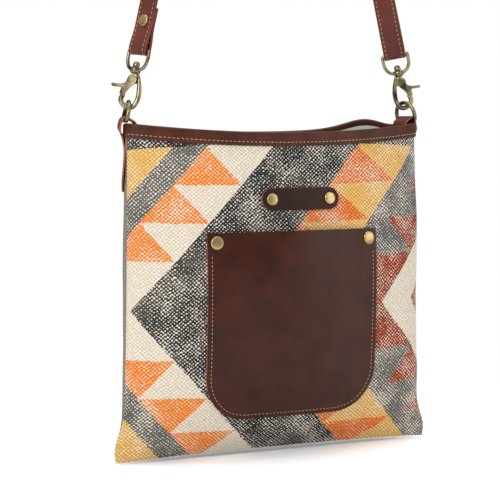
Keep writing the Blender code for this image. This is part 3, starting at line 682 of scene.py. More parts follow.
bands = (
    (-0.249, BAND_GREY),
    (-0.219, triangles(ORANGE, CREAM, -0.219, -0.1565)),
    (-0.1565, CHARCOAL),
    (-0.066, triangles(DEEP_ORANGE, YELLOW, -0.066, 0.008)),
    (0.008, BAND_GREY),
    (0.032, triangles(BAND_GREY, RUST, 0.032, 0.095)),
    (0.095, CREAM),
    (0.137, RUST),
)
print_color = YELLOW
for limit, color in bands:
    print_color = mixed(maths("GREATER_THAN", slant, limit), print_color, color)
border_low = maths("MULTIPLY", parts.outputs[0], parts.outputs[0])
border_low = maths("MULTIPLY_ADD", border_low, -0.36, 0.1500)
border = maths("GREATER_THAN", parts.outputs[1], border_low)
print_color = mixed(border, print_color, CHARCOAL)
brightness = new_node(chevrons, "ShaderNodeSeparateColor", mode="HSV")
feed(brightness.inputs[0], print_color)
dark = maths("LESS_THAN", brightness.outputs[2], 0.2)
fill(end, {"Color": print_color, "Dark": dark})
print("chevron_print:", len(chevrons.nodes), "nodes")

# %% Leather and brass groups
hide, start, end = start_group(
    "leather_grain",
    (
        ("Place", VECTOR, None),
        ("Light", COLOR, (0.1, 0.03, 0.02, 1)),
        ("Dark", COLOR, (0.03, 0.01, 0.01, 1)),
        ("Polish", VALUE, 0.5),
    ),
    (("Color", COLOR), ("Roughness", VALUE), ("Height", VALUE)),
)
patches = cloud(start["Place"], 26.0, 5.0)
streaks = cloud(start["Place"], 45.0, 3.0, (1.0, 0.85, 1.0))
cells = new_node(hide, "ShaderNodeTexVoronoi", feature="F1")
fill(cells, {"Vector": start["Place"], "Scale": 900.0})
weave_shade_and_leather_tone = maths("MULTIPLY_ADD", streaks, 0.5, maths("MULTIPLY", patches, 0.5))
color = mixed(ramp(weave_shade_and_leather_tone, 0.28, 0.72), start["Dark"], start["Light"])
rough = maths("MULTIPLY_ADD", start["Polish"], -0.42, 0.66)
rough = maths("MULTIPLY_ADD", patches, 0.16, rough)
height = maths("MULTIPLY", cells.outputs[0], 0.4)
height = maths("MULTIPLY_ADD", patches, 0.8, height)
fill(end, {"Color": color, "Roughness": rough, "Height": height})

brass_group, start, end = start_group(
    "aged_brass",
    (
        ("Place", VECTOR, None),
        ("Age", VALUE, 0.5),
        ("Light", COLOR, (0.4, 0.3, 0.15, 1)),
        ("Dark", COLOR, (0.03, 0.03, 0.02, 1)),
    ),
    (("Color", COLOR), ("Roughness", VALUE), ("Height", VALUE)),
)
stain = cloud(start["Place"], 75.0, 2.0)
fine = cloud(start["Place"], 900.0, 2.0)
aged = maths("MULTIPLY_ADD", fine, 0.05, stain)
aged = maths("ADD", aged, start["Age"])
aged = ramp(aged, 0.82, 1.26)
color = mixed(aged, start["Light"], start["Dark"])
rough = maths("MULTIPLY_ADD", aged, 0.16, 0.27)
fill(end, {"Color": color, "Roughness": rough, "Height": fine})
print("leather_grain:", len(hide.nodes), "nodes, aged_brass:", len(brass_group.nodes), "nodes")

# %% Canvas materials


def dress_canvas(shader, color, cloth):
    # The weave's painted shade darkens the colour between the thread crossings.
    color = mixed(1.0, color, cloth["Painted Shade"], "MULTIPLY")
    fill(shader, {"Base Color": color, "Roughness": 0.92, "Specular IOR Level": 0.15})
    bump(shader, cloth["Height"], 0.0009, 0.9)


printed, tree, shader = build_material("printed canvas")
place = cloth_place(tree)
art = use_group(chevrons, Place=place)
wear = ramp(art["Dark"], 0.0, 1.0, 0.66, 0.74)
fade = ramp(cloud(place, 16.0, 3.0), 0.42, 0.66, 0.0, 0.30)
fade = maths("MULTIPLY", fade, art["Dark"])
ink = mixed(fade, art["Color"], rgb("7A756C"))
cloth = use_group(weave, Place=place, Wear=wear)
bare_share = maths("MULTIPLY", cloth["Bare"], 0.86)
dress_canvas(shader, mixed(bare_share, ink, rgb("DFD5C4")), cloth)

plain, tree, shader = build_material("grey canvas")
place = cloth_place(tree)
cloth = use_group(weave, Place=place, Wear=0.5)
bare_share = maths("MULTIPLY", cloth["Bare"], 0.4)
dress_canvas(shader, mixed(bare_share, rgb("7F7D74"), rgb("A09D93")), cloth)

lining_cloth, tree, shader = build_material("lining cloth")
place = cloth_place(tree)
cloth = use_group(weave, Place=place, Across=0.0011, Up=0.0011, Wear=0.3)
color = mixed(maths("MULTIPLY", cloth["Bare"], 0.3), rgb("B3B6AC"), rgb("C6C7BD"))
fill(shader, {"Base Color": color, "Roughness": 0.9})
bump(shader, cloth["Height"], 0.0001, 0.5)
print("canvas and lining materials made")

# %% Leather, thread and metal materials


def leather(name, light, dark, polish, coat=0.0, depth=0.00012):
    made, tree, shader = build_material(name)
    place = cloth_place(tree)
    look = use_group(hide, Place=place, Light=rgb(light), Dark=rgb(dark), Polish=polish)
    fill(shader, {"Base Color": look["Color"], "Roughness": look["Roughness"]})
    fill(shader, {"Coat Weight": coat, "Coat Roughness": 0.25, "Specular IOR Level": 0.14})
    bump(shader, look["Height"], depth, 0.5)
    return made


rim_leather = leather("rim leather", "4E261A", "30160E", 0.62, 0.05)
pocket_leather = leather("pocket leather", "3E1808", "260D05", 0.90, 0.10, 0.00004)
strip_leather = leather("strip leather", "2E130A", "1C0B06", 0.75, 0.06)
strap_leather = leather("strap leather", "62312A", "46201A", 0.45)
raw_edge = leather("raw leather edge", "A9653F", "7A4128", 0.1)

thread, tree, shader = build_material("waxed thread")
fuzz = cloud(cloth_place(tree), 500.0)
color = mixed(fuzz, rgb("8F7957"), rgb("BFA67F"))
fill(shader, {"Base Color": color, "Roughness": 0.8})


def metal(name, age, light, dark):
    made, tree, shader = build_material(name)
    where = new_node(tree, "ShaderNodeTexCoord").outputs["Object"]
    look = use_group(brass_group, Place=where, Age=age, Light=rgb(light), Dark=rgb(dark))
    fill(shader, {"Base Color": look["Color"], "Roughness": look["Roughness"]})
    fill(shader, {"Metallic": 1.0})
    bump(shader, look["Height"], 0.00001, 0.15)
    return made


brass = metal("antique brass", 0.50, "988B6C", "221E17")
rivet_brass = metal("rivet brass", 0.42, "B29A6C", "6F5A39")
steel, tree, shader = build_material("spring steel")
haze = cloud(new_node(tree, "ShaderNodeTexCoord").outputs["Object"], 800.0)
color = mixed(haze, rgb("8A8780"), rgb("B5B2A8"))
fill(shader, {"Base Color": color, "Metallic": 1.0, "Roughness": 0.35})
print("leather, thread and metal materials made")

# %% [markdown]
# Both panels are fine copies of their solids, with slight slack in the cloth. Under the pocket, the
# strip and the rivets the cloth keeps to its solid.

# %% Canvas panels


def patch_share(x, z):
    """0 under the pocket and the leather strip, rising to 1 away from them."""
    pocket_x = abs(x) - POCKET_WIDTH / 2
    pocket_z = max(POCKET_BOTTOM - z, z - POCKET_BOTTOM - POCKET_HEIGHT)
    strip_x = abs(x - STRIP_X) - STRIP_LENGTH / 2
    strip_z = abs(z - STRIP_Z) - STRIP_HEIGHT / 2
    far = min(max(pocket_x, pocket_z), max(strip_x, strip_z))
    return eased((far - 0.002) / 0.018)


def slack(side, angle, height):
    """Lift of the cloth off its solid, 0 along the seams and the rim."""
    base = skin(side, angle, height)
    wide = noise.noise(Vector((base.x * 17, base.z * 10, 3.0 * side)))
    fine = noise.noise(Vector((base.x * 42, base.z * 26, 9.0 * side)))
    edge = eased(sin(angle) / 0.35) * eased(height / 0.08) * eased((0.955 - height) / 0.06)
    lift = WIDE_SLACK * wide + FINE_SLACK * fine
    if side < 0:
        edge *= patch_share(base.x, base.z)
    return lift * edge


def make_panel(name, side, columns, rows, cloth_look):
    angles, heights = even_angles(columns), bag_heights(rows)
    outer = [[layer(side, a, h, slack(side, a, h)) for a in angles] for h in heights]
    inner = [[layer(side, a, h, slack(side, a, h) - CANVAS) for a in angles] for h in heights]
    points, faces, _ = two_sided(outer, inner)
    offsets = [row[columns // 2].z - PRINT_MIDDLE for row in outer]
    middle = min(range(len(offsets)), key=lambda j: abs(offsets[j]))
    places = arc_places(outer, middle, columns // 2)
    places = [(u, v + offsets[middle], 0.0) for u, v, _ in places]
    replace_node(name, (points, faces), "bag", [cloth_look], places * 2)


make_panel("front_panel", -1, 180, 120, printed)
make_panel("back_panel", 1, 160, 100, plain)
print("panels made")

# %% Lining


def make_lining():
    top = 1 - (BINDING_INNER_DEPTH + 2 * FIT) / BAG_HEIGHT
    columns = 90
    heights = bag_heights(50, 0.022, top)

    def ring(height, lift):
        drawn_in = 0.21 * pi * max(0.0, 1 - height / 0.22)
        made = []
        for side in (-1, 1):
            kept = [drawn_in + a * (1 - 2 * drawn_in / pi) for a in even_angles(columns)]
            if side > 0:
                kept.reverse()
            for a in kept:
                fold = 0.5 + 0.5 * noise.noise(Vector((a * 6, height * 5, side)))
                made.append(layer(side, a, height, lift - 0.0016 * fold * eased(sin(a) * 3)))
        return made

    rings = [ring(h, -CANVAS - LINING_SLACK) for h in heights]
    rings += [ring(h, -CANVAS - LINING_SLACK - LINING) for h in reversed(heights)]
    points, faces = loft(rings)
    del faces[-2:]
    count = len(rings[0])
    for base in (0, len(points) - count):
        for k in range(columns):
            faces.append((base + k, base + k + 1, base + count - 2 - k, base + count - 1 - k))
    replace_node("lining", (points, faces), "bag", [lining_cloth])


make_lining()
print("lining made")

# %% Rim bindings


def make_binding(name, side):
    outer, inner = FIT, -CANVAS - FIT
    top_middle, top_half = (outer + inner) / 2, (outer - inner) / 2 + TRIM_LEATHER
    low_out, low_in = -BINDING_OUTER_DEPTH, -BINDING_INNER_DEPTH
    profile = [(outer, low_out), (outer + 0.8 * TRIM_LEATHER, low_out)]
    profile += [(outer + TRIM_LEATHER, low_out + 0.0004), (outer + TRIM_LEATHER, low_out + 0.0030)]
    profile += [(outer + TRIM_LEATHER, low_out / 2), (outer + TRIM_LEATHER, -0.0008)]
    for k in range(9):
        a = pi * (k + 0.5) / 9
        lift = top_middle + top_half * cos(a)
        profile.append((lift, (FIT + TRIM_LEATHER) * sin(a) ** 0.8))
    profile += [(inner - TRIM_LEATHER, -0.0008), (inner - TRIM_LEATHER, low_in + 0.0004)]
    profile += [(inner - 0.8 * TRIM_LEATHER, low_in), (inner, low_in), (inner, FIT), (outer, FIT)]
    sections, cloth = [], []
    run = 0.0
    for angle in even_angles(170):
        ring = []
        for lift, rise in profile:
            height = 1 + min(rise, 0.0) / BAG_HEIGHT
            point = layer(side, angle, height, lift)
            point.z += max(rise, 0.0)
            ring.append(point)
        run += (ring[0] - sections[-1][0]).length if sections else 0.0
        sections.append(ring)
        cloth += [(run, lift * 2 + rise, 0.0) for lift, rise in profile]
    replace_node(name, loft(sections), "bag", [rim_leather], cloth)
    row = []
    for k in range(161):
        angle = pi * (0.022 + 0.956 * k / 160)
        height = 1 - (BINDING_OUTER_DEPTH - 0.0034) / BAG_HEIGHT
        point = layer(side, angle, height, outer + TRIM_LEATHER)
        row.append((point, skin_normal(side, angle, height)))
    add_piece(f"{name}_thread", stitches([row]), "bag", [thread])


make_binding("front_binding", -1)
make_binding("back_binding", 1)
print("bindings and their stitches made")

# %% Pocket and leather strip


def pocket_half(rise):
    below = max(0.0, POCKET_CORNER - rise)
    return POCKET_WIDTH / 2 - POCKET_CORNER + sqrt(max(POCKET_CORNER**2 - below**2, 0.0))


def pocket_lift(share, rise):
    fuller = sin(0.5 * pi * min(1.0, rise / (0.55 * POCKET_HEIGHT)))
    swell = max(0.0, 1 - (share / POCKET_HELD_FLAT) ** 2) ** 1.2
    return FIT + POCKET_FULLNESS * fuller * swell


def make_patch(name, places, lifts, thickness, look):
    inner = [[front_point(x, z, q) for (x, z), q in zip(r, w)] for r, w in zip(places, lifts)]
    raised = [[lift + thickness for lift in row] for row in lifts]
    outer = [[front_point(x, z, q) for (x, z), q in zip(r, w)] for r, w in zip(places, raised)]
    points, faces, slots = two_sided(outer, inner)
    cloth = [(x, z, 0.0) for row in places for x, z in row]
    piece = replace_node(name, (points, faces), "bag", [look, raw_edge], cloth * 2, slots)
    round_edges(piece, 0.0004)


def make_pocket():
    columns, turns, straights = 72, 26, 44
    rises = [POCKET_CORNER * (1 - cos(0.5 * pi * i / turns)) for i in range(turns)]
    left_over = POCKET_HEIGHT - POCKET_CORNER
    rises += [POCKET_CORNER + left_over * i / straights for i in range(straights + 1)]
    shares = [sin(0.5 * pi * (2 * k / columns - 1)) for k in range(columns + 1)]
    places, lifts = [], []
    for rise in rises:
        half = pocket_half(rise) + (0.002 if rise == 0 else 0)
        places.append([(half * s, POCKET_BOTTOM + rise) for s in shares])
        lifts.append([pocket_lift(s, rise) for s in shares])
    make_patch("pocket", places, lifts, POCKET_LEATHER, pocket_leather)
    inset = 0.0040
    radius = POCKET_CORNER - inset
    side_x, low = POCKET_WIDTH / 2 - inset, POCKET_BOTTOM + inset
    outline = []
    thread_top = POCKET_HEIGHT - 0.020
    for k in range(61):
        z = POCKET_BOTTOM + thread_top - (thread_top - POCKET_CORNER) * k / 60
        outline.append((-side_x, z))
    for k in range(1, 31):
        a = 0.5 * pi * k / 30
        corner_x, corner_z = -side_x + radius, low + radius
        outline.append((corner_x - radius * cos(a), corner_z - radius * sin(a)))
    outline += [(-side_x + radius + (side_x - radius) * k / 20, low) for k in range(1, 21)]
    outline += [(-x, z) for x, z in reversed(outline[:-1])]
    row = []
    for x, z in outline:
        rise = z - POCKET_BOTTOM
        share = x / pocket_half(rise)
        point = front_point(x, z, pocket_lift(share, rise) + POCKET_LEATHER)
        row.append((point, skin_normal(-1, *front_place(x, z))))
    add_piece("pocket_thread", stitches([row], 0.0037, 0.0025, 0.00026), "bag", [thread])


def make_strip():
    columns, rows, radius = 60, 14, STRIP_HEIGHT / 2
    places = []
    for j in range(rows + 1):
        rise = radius * sin(0.5 * pi * (2 * j / rows - 1))
        half = STRIP_LENGTH / 2 - radius + sqrt(max(radius**2 - rise**2, 0.0)) + 1e-4
        xs = [half * sin(0.5 * pi * (2 * k / columns - 1)) for k in range(columns + 1)]
        places.append([(STRIP_X + x, STRIP_Z + rise) for x in xs])
    lifts = [[FIT] * (columns + 1)] * (rows + 1)
    make_patch("leather_strip", places, lifts, STRIP_LEATHER, strip_leather)


make_pocket()
make_strip()
print("pocket and strip made")

# %% Rivets


def rivet_shape(diameter, grip):
    """Cap with a rolled rim and a shallow dome, shank and back cap."""
    radius, shank, back = diameter / 2, RIVET_SHANK / 2, 0.4 * diameter
    profile = [(0, 0.82 * RIVET_DOME)]
    for degrees in range(10, 90, 10):
        a = radians(degrees)
        profile.append((0.86 * radius * sin(a), RIVET_DOME * (0.62 + 0.20 * cos(a))))
    profile += [(0.89 * radius, RIVET_DOME * 0.50), (0.94 * radius, RIVET_DOME * 0.55)]
    profile += [(0.99 * radius, RIVET_DOME * 0.38), (radius, RIVET_DOME * 0.15), (0.97 * radius, 0)]
    profile += [(shank, 0), (shank, -grip), (back, -grip), (back, -grip - 0.0006)]
    profile += [(0.6 * back, -grip - 0.0010), (0, -grip - 0.0010)]
    return turned(profile)


def front_rivet(name, x, z, lift, diameter):
    angle, height = front_place(x, z)
    normal = skin_normal(-1, angle, height)
    seat = skin(-1, angle, height) + normal * (lift + FIT)
    grip = lift + CANVAS + LINING + LINING_SLACK + 3 * FIT
    shape = placed(rivet_shape(diameter, grip), facing(normal, seat))
    replace_node(name, shape, "bag", [rivet_brass])


for side, word in SIDES:
    x = side * (POCKET_WIDTH / 2 - POCKET_RIVET_INSET)
    z = POCKET_BOTTOM + POCKET_HEIGHT - POCKET_RIVET_INSET
    front_rivet(f"pocket_rivet_{word}", x, z, FIT + POCKET_LEATHER, POCKET_RIVET_CAP)
    x = STRIP_X + side * (STRIP_LENGTH / 2 - STRIP_RIVET_INSET)
    front_rivet(f"strip_rivet_{word}", x, STRIP_Z, FIT + STRIP_LEATHER, STRIP_RIVET_CAP)
print("front rivets made")

# %% [markdown]
# Each tab is one strip of leather: up inside the bag, over the ring's bar and down outside.

# %% Side tabs and rings


def tab_axes(side):
    outward = Vector((side * cos(RING_TURN), sin(RING_TURN), 0))
    along = Vector((-side * sin(RING_TURN), cos(RING_TURN), 0))
    return outward, along


def side_place(side):
    power = section_power(1, 1.0)
    depth = (-SEAM_Y - HALF_GAP) / BACK_RIM_BULGE
    return Vector((side * HALF_WIDTH_TOP * (1 - depth**power) ** (1 / power), 0, 0))


def wall_reach(side, z, lift, pick):
    """Furthest (max) or nearest (min) the wall reaches across the tab at height z."""
    outward, along = tab_axes(side)
    middle = side_place(side)
    reaches = []
    for half in (-1, 1):
        for k in range(25):
            angle = pi * k / 60
            angle = angle if side < 0 else pi - angle
            height = min(height_share(side * HALF_WIDTH_TOP, z), 1.0)
            offset = layer(half, angle, height, lift) - middle
            offset.z = 0
            if offset.length <= 0.03 and abs(offset.dot(along)) <= TAB_HALF_WIDTH + 0.0015:
                reaches.append(offset.dot(outward))
    return pick(reaches)


def make_tab(name, side):
    outward, along = tab_axes(side)
    middle = side_place(side)
    half = TAB_LEATHER / 2
    rim = BAG_HEIGHT + RIM_END_RISE
    skin_clear = FIT + half
    binding_clear = FIT + TRIM_LEATHER + FIT + half
    out_low = wall_reach(side, TAB_TIP_HEIGHT, 0, max) + skin_clear
    out_mid = wall_reach(side, TAB_TIP_HEIGHT + 0.03, 0, max) + skin_clear
    out_rim = wall_reach(side, rim, 0, max) + binding_clear
    inner_layers = -CANVAS - max(FIT + TRIM_LEATHER, LINING_SLACK + LINING)
    inner_heights = (rim - 0.005, rim - 0.010, rim - 0.015, rim - 0.020, TAB_INNER_HEIGHT)
    inside = min(wall_reach(side, z, inner_layers, min) for z in inner_heights) - 2 * FIT - half
    fold = RING_WIRE / 2 + 2 * FIT + half
    over = [(cos(a) * fold, RING_BAR_UP + sin(a) * fold) for a in (2.5, 1.9, 1.2, 0.5)]
    stations = (
        (inside, TAB_INNER_HEIGHT, 0.0060),
        (inside, TAB_INNER_HEIGHT + 0.012, TAB_HALF_WIDTH),
        (inside - 0.0005, rim - 0.006, TAB_HALF_WIDTH),
        (inside, rim + 0.002, TAB_HALF_WIDTH),
        *((u, z, TAB_HALF_WIDTH) for u, z in over),
        (out_rim + 0.0014, RING_BAR_UP - 0.0020, TAB_HALF_WIDTH),
        (out_rim + 0.0022, rim - 0.005, TAB_HALF_WIDTH),
        (out_rim + 0.0004, rim - BINDING_OUTER_DEPTH - 0.001, 0.0052),
        (out_mid + 0.0004, rim - 0.021, 0.0046),
        (out_mid, TAB_TIP_HEIGHT + 0.026, 0.0074),
        (out_low, TAB_TIP_HEIGHT + 0.010, 0.0058),
        (out_low, TAB_TIP_HEIGHT, 0.0018),
    )
    sections, cloth = [], []
    path = smooth_path(stations, TAB_STATIONS)
    run = 0.0
    for i, (u, z, wide) in enumerate(path):
        before, after = path[max(i - 1, 0)], path[min(i + 1, len(path) - 1)]
        direction = outward * (after[0] - before[0]) + Vector((0, 0, after[1] - before[1]))
        face = direction.cross(along).normalized() * half
        centre = middle + outward * u + Vector((0, 0, z))
        outside = eased((i - 48) / 12)
        roll = TAB_ROLL * outside
        wide *= 1 + 0.12 * outside
        edge = (along * cos(roll) - outward * sin(roll)) * wide
        centre -= outward * 0.0020 * outside * eased((TAB_STATIONS - 1 - i) / 40)
        run += TAB_STEP
        sections.append(flat_section(centre, edge, face))
        cloth += flat_cloth(run, wide)
    looks, slots = [strap_leather, raw_edge], flat_slots(len(path))
    piece = replace_node(name, loft(sections), "bag", looks, cloth, slots)
    round_edges(piece, 0.00035)


def ring_axes(side):
    _, along = tab_axes(side)
    lean = Vector((-side * sin(RING_LEAN), 0, cos(RING_LEAN)))
    up = (lean - along * lean.dot(along)).normalized()
    origin = side_place(side) + Vector((0, 0, RING_BAR_UP))
    return Matrix.Translation(origin) @ Matrix((along, up.cross(along), up)).transposed().to_4x4()


def make_ring(word, side):
    reach, corner = RING_REACH, RING_CORNER
    bend = []
    for k in range(1, 7):
        a = radians(15 * k)
        bend.append((reach - corner + corner * sin(a), corner * (1 - cos(a))))
    outline = [(reach * k / 8, 0) for k in range(-6, 7)] + bend
    outline += [(reach * cos(a), RING_LEG + reach * sin(a)) for a in even_angles(40)]
    outline += [(-x, z) for x, z in reversed(bend)]
    shape = wire(outlined(outline), RING_WIRE / 2, Vector((0, 1, 0)), closed=True)
    replace_node(f"d_ring_{word}", placed(shape, ring_axes(side)), f"ring_{word}", [brass])


for side, word in SIDES:
    make_tab(f"side_tab_{word}", side)
    make_ring(word, side)
print("tabs and rings made")

# %% Swivel eyes


def clasp_axes(side, facing_angle):
    ring = ring_axes(side)
    contact = ring.translation + ring.col[2].to_3d() * RING_RISE
    axis = Vector((-side * sin(CLASP_LEAN), 0, cos(CLASP_LEAN)))
    across = Vector((-side * cos(facing_angle), -side * sin(facing_angle), 0))
    across = (across - axis * across.dot(axis)).normalized()
    origin = contact - axis * ((RING_WIRE + HOOK_WIRE) / 2 + LINK_PLAY)
    basis = Matrix((across, axis.cross(across), axis)).transposed().to_4x4()
    return Matrix.Translation(origin) @ basis


def eye_axes(side, strap_facing):
    hook = clasp_axes(side, 0.0)
    axis = hook.col[2].to_3d()
    outer = Vector((sin(strap_facing), -cos(strap_facing), 0))
    outer = (outer - axis * outer.dot(axis)).normalized()
    bar = outer.cross(axis) * -1
    origin = hook.translation + axis * EYE_BAR_UP
    return Matrix.Translation(origin) @ Matrix((bar, -outer, axis)).transposed().to_4x4()


def make_eye(name, place, body):
    low = HUB_UP - EYE_BAR_UP
    middle = low + HUB_HEIGHT / 2
    reach, corner = EYE_REACH, 0.0022
    half_path = [(0.0036, middle), (0.0084, middle + 0.0022), (reach - 0.0008, middle + 0.0066)]
    half_path += [(reach, middle + 0.0115), (reach, -corner)]
    right = outlined(smooth_path(half_path, 30))
    for k in range(1, 9):
        a = radians(90 * k / 8)
        right.append(Vector((reach - corner * (1 - cos(a)), 0, -corner * (1 - sin(a)))))
    left = [Vector((-p.x, 0, p.z)) for p in reversed(right)]
    bent = wire(right + left, EYE_WIRE / 2, Vector((0, 1, 0)))
    hole = POST_RADIUS + FIT
    profile = ((hole, low), (HUB_RADIUS - 0.0004, low), (HUB_RADIUS, low + 0.0004))
    profile += ((HUB_RADIUS, middle), (HUB_RADIUS, low + HUB_HEIGHT - 0.0004))
    profile += ((HUB_RADIUS - 0.0004, low + HUB_HEIGHT), (hole, low + HUB_HEIGHT))
    around = [(cos(a), sin(a)) for a in whole_turn(32)]
    hub = loft([[Vector((r * c, r * s, z)) for r, z in profile] for c, s in around], True)
    replace_node(name, placed(joined(bent, hub), place), body, [brass])


eyes = []
for (side, word), turn in zip(SIDES, STRAP_FACINGS):
    eyes.append(eye_axes(side, turn))
    make_eye(f"swivel_eye_{word}", eyes[-1], f"eye_{word}")
print("swivel eyes made")

# %% [markdown]
# The hook is drawn in its own plane, X across and Z along the clasp: a wire from the flange round
# the bow to the nose, with the cheek behind the lever's boss. The lever is a plate with soft edges.

# %% Hooks and levers
HOOK_HALF = 0.0024
PIVOT = (-0.0010, 0.0250)
CHEEK = 0.0015
HOOK_FACINGS = (radians(-30), radians(-18))


def about_pivot(radius, degrees):
    a = radians(degrees)
    return PIVOT[0] + radius * cos(a), PIVOT[1] + radius * sin(a)


def make_hook(name, place, body):
    bow = ((0.0030, 0.0301), (0.0040, 0.0282), (0.0052, 0.0246), (0.0064, 0.0198))
    bow += ((0.0073, 0.0138), (0.0072, 0.0083), (0.0056, 0.0032), (0.0034, 0.0009), (0, 0))
    bow += ((-0.0034, 0.0009), (-0.0062, 0.0034), (-0.0074, 0.0064), (-0.0066, 0.0092))
    path = outlined(smooth_path(bow, 84))
    wide = [HOOK_WIRE / 2 * (0.62 + 0.38 * eased(i / 27)) for i in range(len(path))]
    shapes = [wire(path, HOOK_WIRE / 2, Vector((0, 1, 0)), wide=wide)]
    cheek = [about_pivot(0.0042, d) for d in range(0, 360, 10)]
    shapes.append(slab(cheek, HOOK_HALF - CHEEK, HOOK_HALF))
    web = [(0.0006, 0.0220), (0.0052, 0.0220), (0.0046, 0.0290), (-0.0005, 0.0288)]
    shapes.append(slab(web, HOOK_HALF - CHEEK + 0.0001, HOOK_HALF - 0.0001))
    head = HUB_UP + HUB_HEIGHT + FIT
    profile = [(0, FLANGE_UP), (0.0030, FLANGE_UP), (0.0034, FLANGE_UP + 0.0004)]
    profile += [(0.0034, FLANGE_UP + 0.0007), (0.0031, FLANGE_UP + 0.0010)]
    profile += [(POST_RADIUS, FLANGE_UP + 0.0010), (POST_RADIUS, head), (0.0026, head)]
    profile += [(0.0031, head + 0.0008), (0.0032, head + 0.0014), (0.0031, head + 0.0026)]
    profile += [(0.0027, head + 0.0038), (0.0018, head + 0.0048), (0, head + 0.0052)]
    shapes.append(turned(profile))
    replace_node(name, placed(joined(*shapes), place), body, [brass], sharp=35)


def make_lever(name, place, body):
    boss = [about_pivot(0.0042, d) for d in range(-48, 165, 12)]
    thumb = [(-0.0062, 0.0215), (-0.0090, 0.0197), (-0.0130, 0.0188), (-0.0176, 0.0186)]
    thumb += [(-0.0181, 0.0172), (-0.0172, 0.0161), (-0.0130, 0.0163), (-0.0096, 0.0166)]
    tip = [about_pivot(0.0166, d) for d in (241, 249, 257)]
    arm = [(-0.0090, 0.0150), (-0.0094, 0.0124), *tip]
    arm += [(-0.0047, 0.0122), (-0.0026, 0.0162), (0.0002, 0.0192)]
    outline = smooth_path(boss + thumb + arm, 96)
    relief = [about_pivot(0.0045, d) for d in range(285, 213, -12)]
    low = smooth_path(relief + thumb + arm[:-1], 72)
    split = HOOK_HALF - CHEEK - FIT
    shape = joined(slab(outline, -HOOK_HALF, split), slab(low, split, HOOK_HALF))
    piece = replace_node(name, placed(shape, place), body, [brass], sharp=35)
    round_edges(piece, 0.0005)


for (side, word), turn in zip(SIDES, HOOK_FACINGS):
    make_hook(f"hook_{word}", clasp_axes(side, turn), f"hook_{word}")
    make_lever(f"trigger_{word}", clasp_axes(side, turn), f"trigger_{word}")
print("hooks and levers made")

# %% [markdown]
# The strap is one length. At both ends it runs round the eye's bar and up behind itself.

# %% Strap


def fold_stations(place, tail, rivet_up, outer_side):
    axis, bar = place.col[2].to_3d(), place.col[0].to_3d()
    outer = place.col[1].to_3d() * -1
    close = STRAP_THICKNESS / 2 + HALF_GAP
    round_bar = EYE_WIRE / 2 + FIT + STRAP_THICKNESS / 2
    start_up = 0.003

    def spread(up):
        share = (up - start_up) / (rivet_up * 0.8 - start_up)
        return round_bar + (close - round_bar) * eased(share)

    tail_ups = [tail + (start_up - tail) * i / 30 for i in range(31)]
    flat = [(-spread(up), up) for up in tail_ups]
    flat += [(-round_bar * cos(a), -round_bar * sin(a)) for a in even_angles(16)[1:-1]]
    flat += [(spread(up), up) for up in reversed(tail_ups)]
    points = [place.translation + outer * n + axis * up for n, up in flat]
    return points, bar * outer_side


def straight(start, end, first_edge, last_edge, count=56):
    shares = [i / count for i in range(1, count)]
    return [(start.lerp(end, s), first_edge.lerp(last_edge, s)) for s in shares]


left, left_edge = fold_stations(eyes[0], STRAP_TAILS[0], STRAP_RIVETS[0], 1)
right, right_edge = fold_stations(eyes[1], STRAP_TAILS[1], STRAP_RIVETS[1], -1)
reach = STRAP_ARCH * cos(CLASP_LEAN)
half_span = (right[-1].x - left[-1].x) / 2
arch_z = (left[-1].z + right[-1].z) / 2 + (half_span - reach) / tan(CLASP_LEAN)
arch_z -= STRAP_ARCH * sin(CLASP_LEAN)
swing = pi - CLASP_LEAN
arch = []
for i in range(41):
    a = swing + (pi - 2 * swing) * i / 40
    arch.append(Vector((0, 0, arch_z)) + Vector((cos(a), 0, sin(a))) * STRAP_ARCH)
edge_at_arch = Vector((0, -1, 0))
stations = [(point, left_edge) for point in left]
stations += straight(left[-1], arch[0], left_edge, edge_at_arch)
stations += [(point, edge_at_arch) for point in arch]
stations += straight(arch[-1], right[-1], edge_at_arch, right_edge)
stations += [(point, right_edge) for point in reversed(right)]
sections, cloth, face_rows = [], [], [[], [], [], []]
run = 0.0
for i, (point, edge) in enumerate(stations):
    ahead = stations[min(i + 1, len(stations) - 1)][0]
    behind = stations[max(i - 1, 0)][0]
    direction = ahead - behind
    run += (point - behind).length
    edge = (edge - direction * (edge.dot(direction) / direction.length_squared)).normalized()
    normal = direction.cross(edge).normalized()
    face = normal * STRAP_THICKNESS / 2
    sections.append(flat_section(point, edge * STRAP_WIDTH / 2, face))
    cloth += flat_cloth(run, STRAP_WIDTH / 2)
    inset = edge * (STRAP_WIDTH / 2 - 0.0027)
    for n, (way, out) in enumerate(((1, 1), (-1, 1), (1, -1), (-1, -1))):
        face_rows[n].append((point + inset * way + face * out, normal * out))
strap_edge = leather("strap edge", "7A4433", "5A2C20", 0.2)
looks, slots = [strap_leather, strap_edge], flat_slots(len(stations))
strap = replace_node("strap", loft(sections), "strap", looks, cloth, slots)
round_edges(strap, 0.0005)
add_piece("strap_thread", stitches(face_rows, 0.0042, 0.0026, 0.00030), "strap", [thread])
for place, rivet_up, word in zip(eyes, STRAP_RIVETS, ("left", "right")):
    axis, outer = place.col[2].to_3d(), place.col[1].to_3d() * -1
    grip = 2 * STRAP_THICKNESS + 3 * FIT
    seat = place.translation + axis * rivet_up + outer * grip / 2
    shape = placed(rivet_shape(STRAP_RIVET_CAP, grip), facing(outer, seat))
    replace_node(f"strap_rivet_{word}", shape, "strap", [rivet_brass])
print("strap made,", round(run, 3), "m of leather")

# %% Carried-over hardware
for name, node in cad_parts.items():
    if name.startswith(("trigger_pin_", "trigger_spring_")):
        for slot in node.material_slots:
            slot.material = steel if "spring" in name else brass
            print(name, "has", slot.material.name)

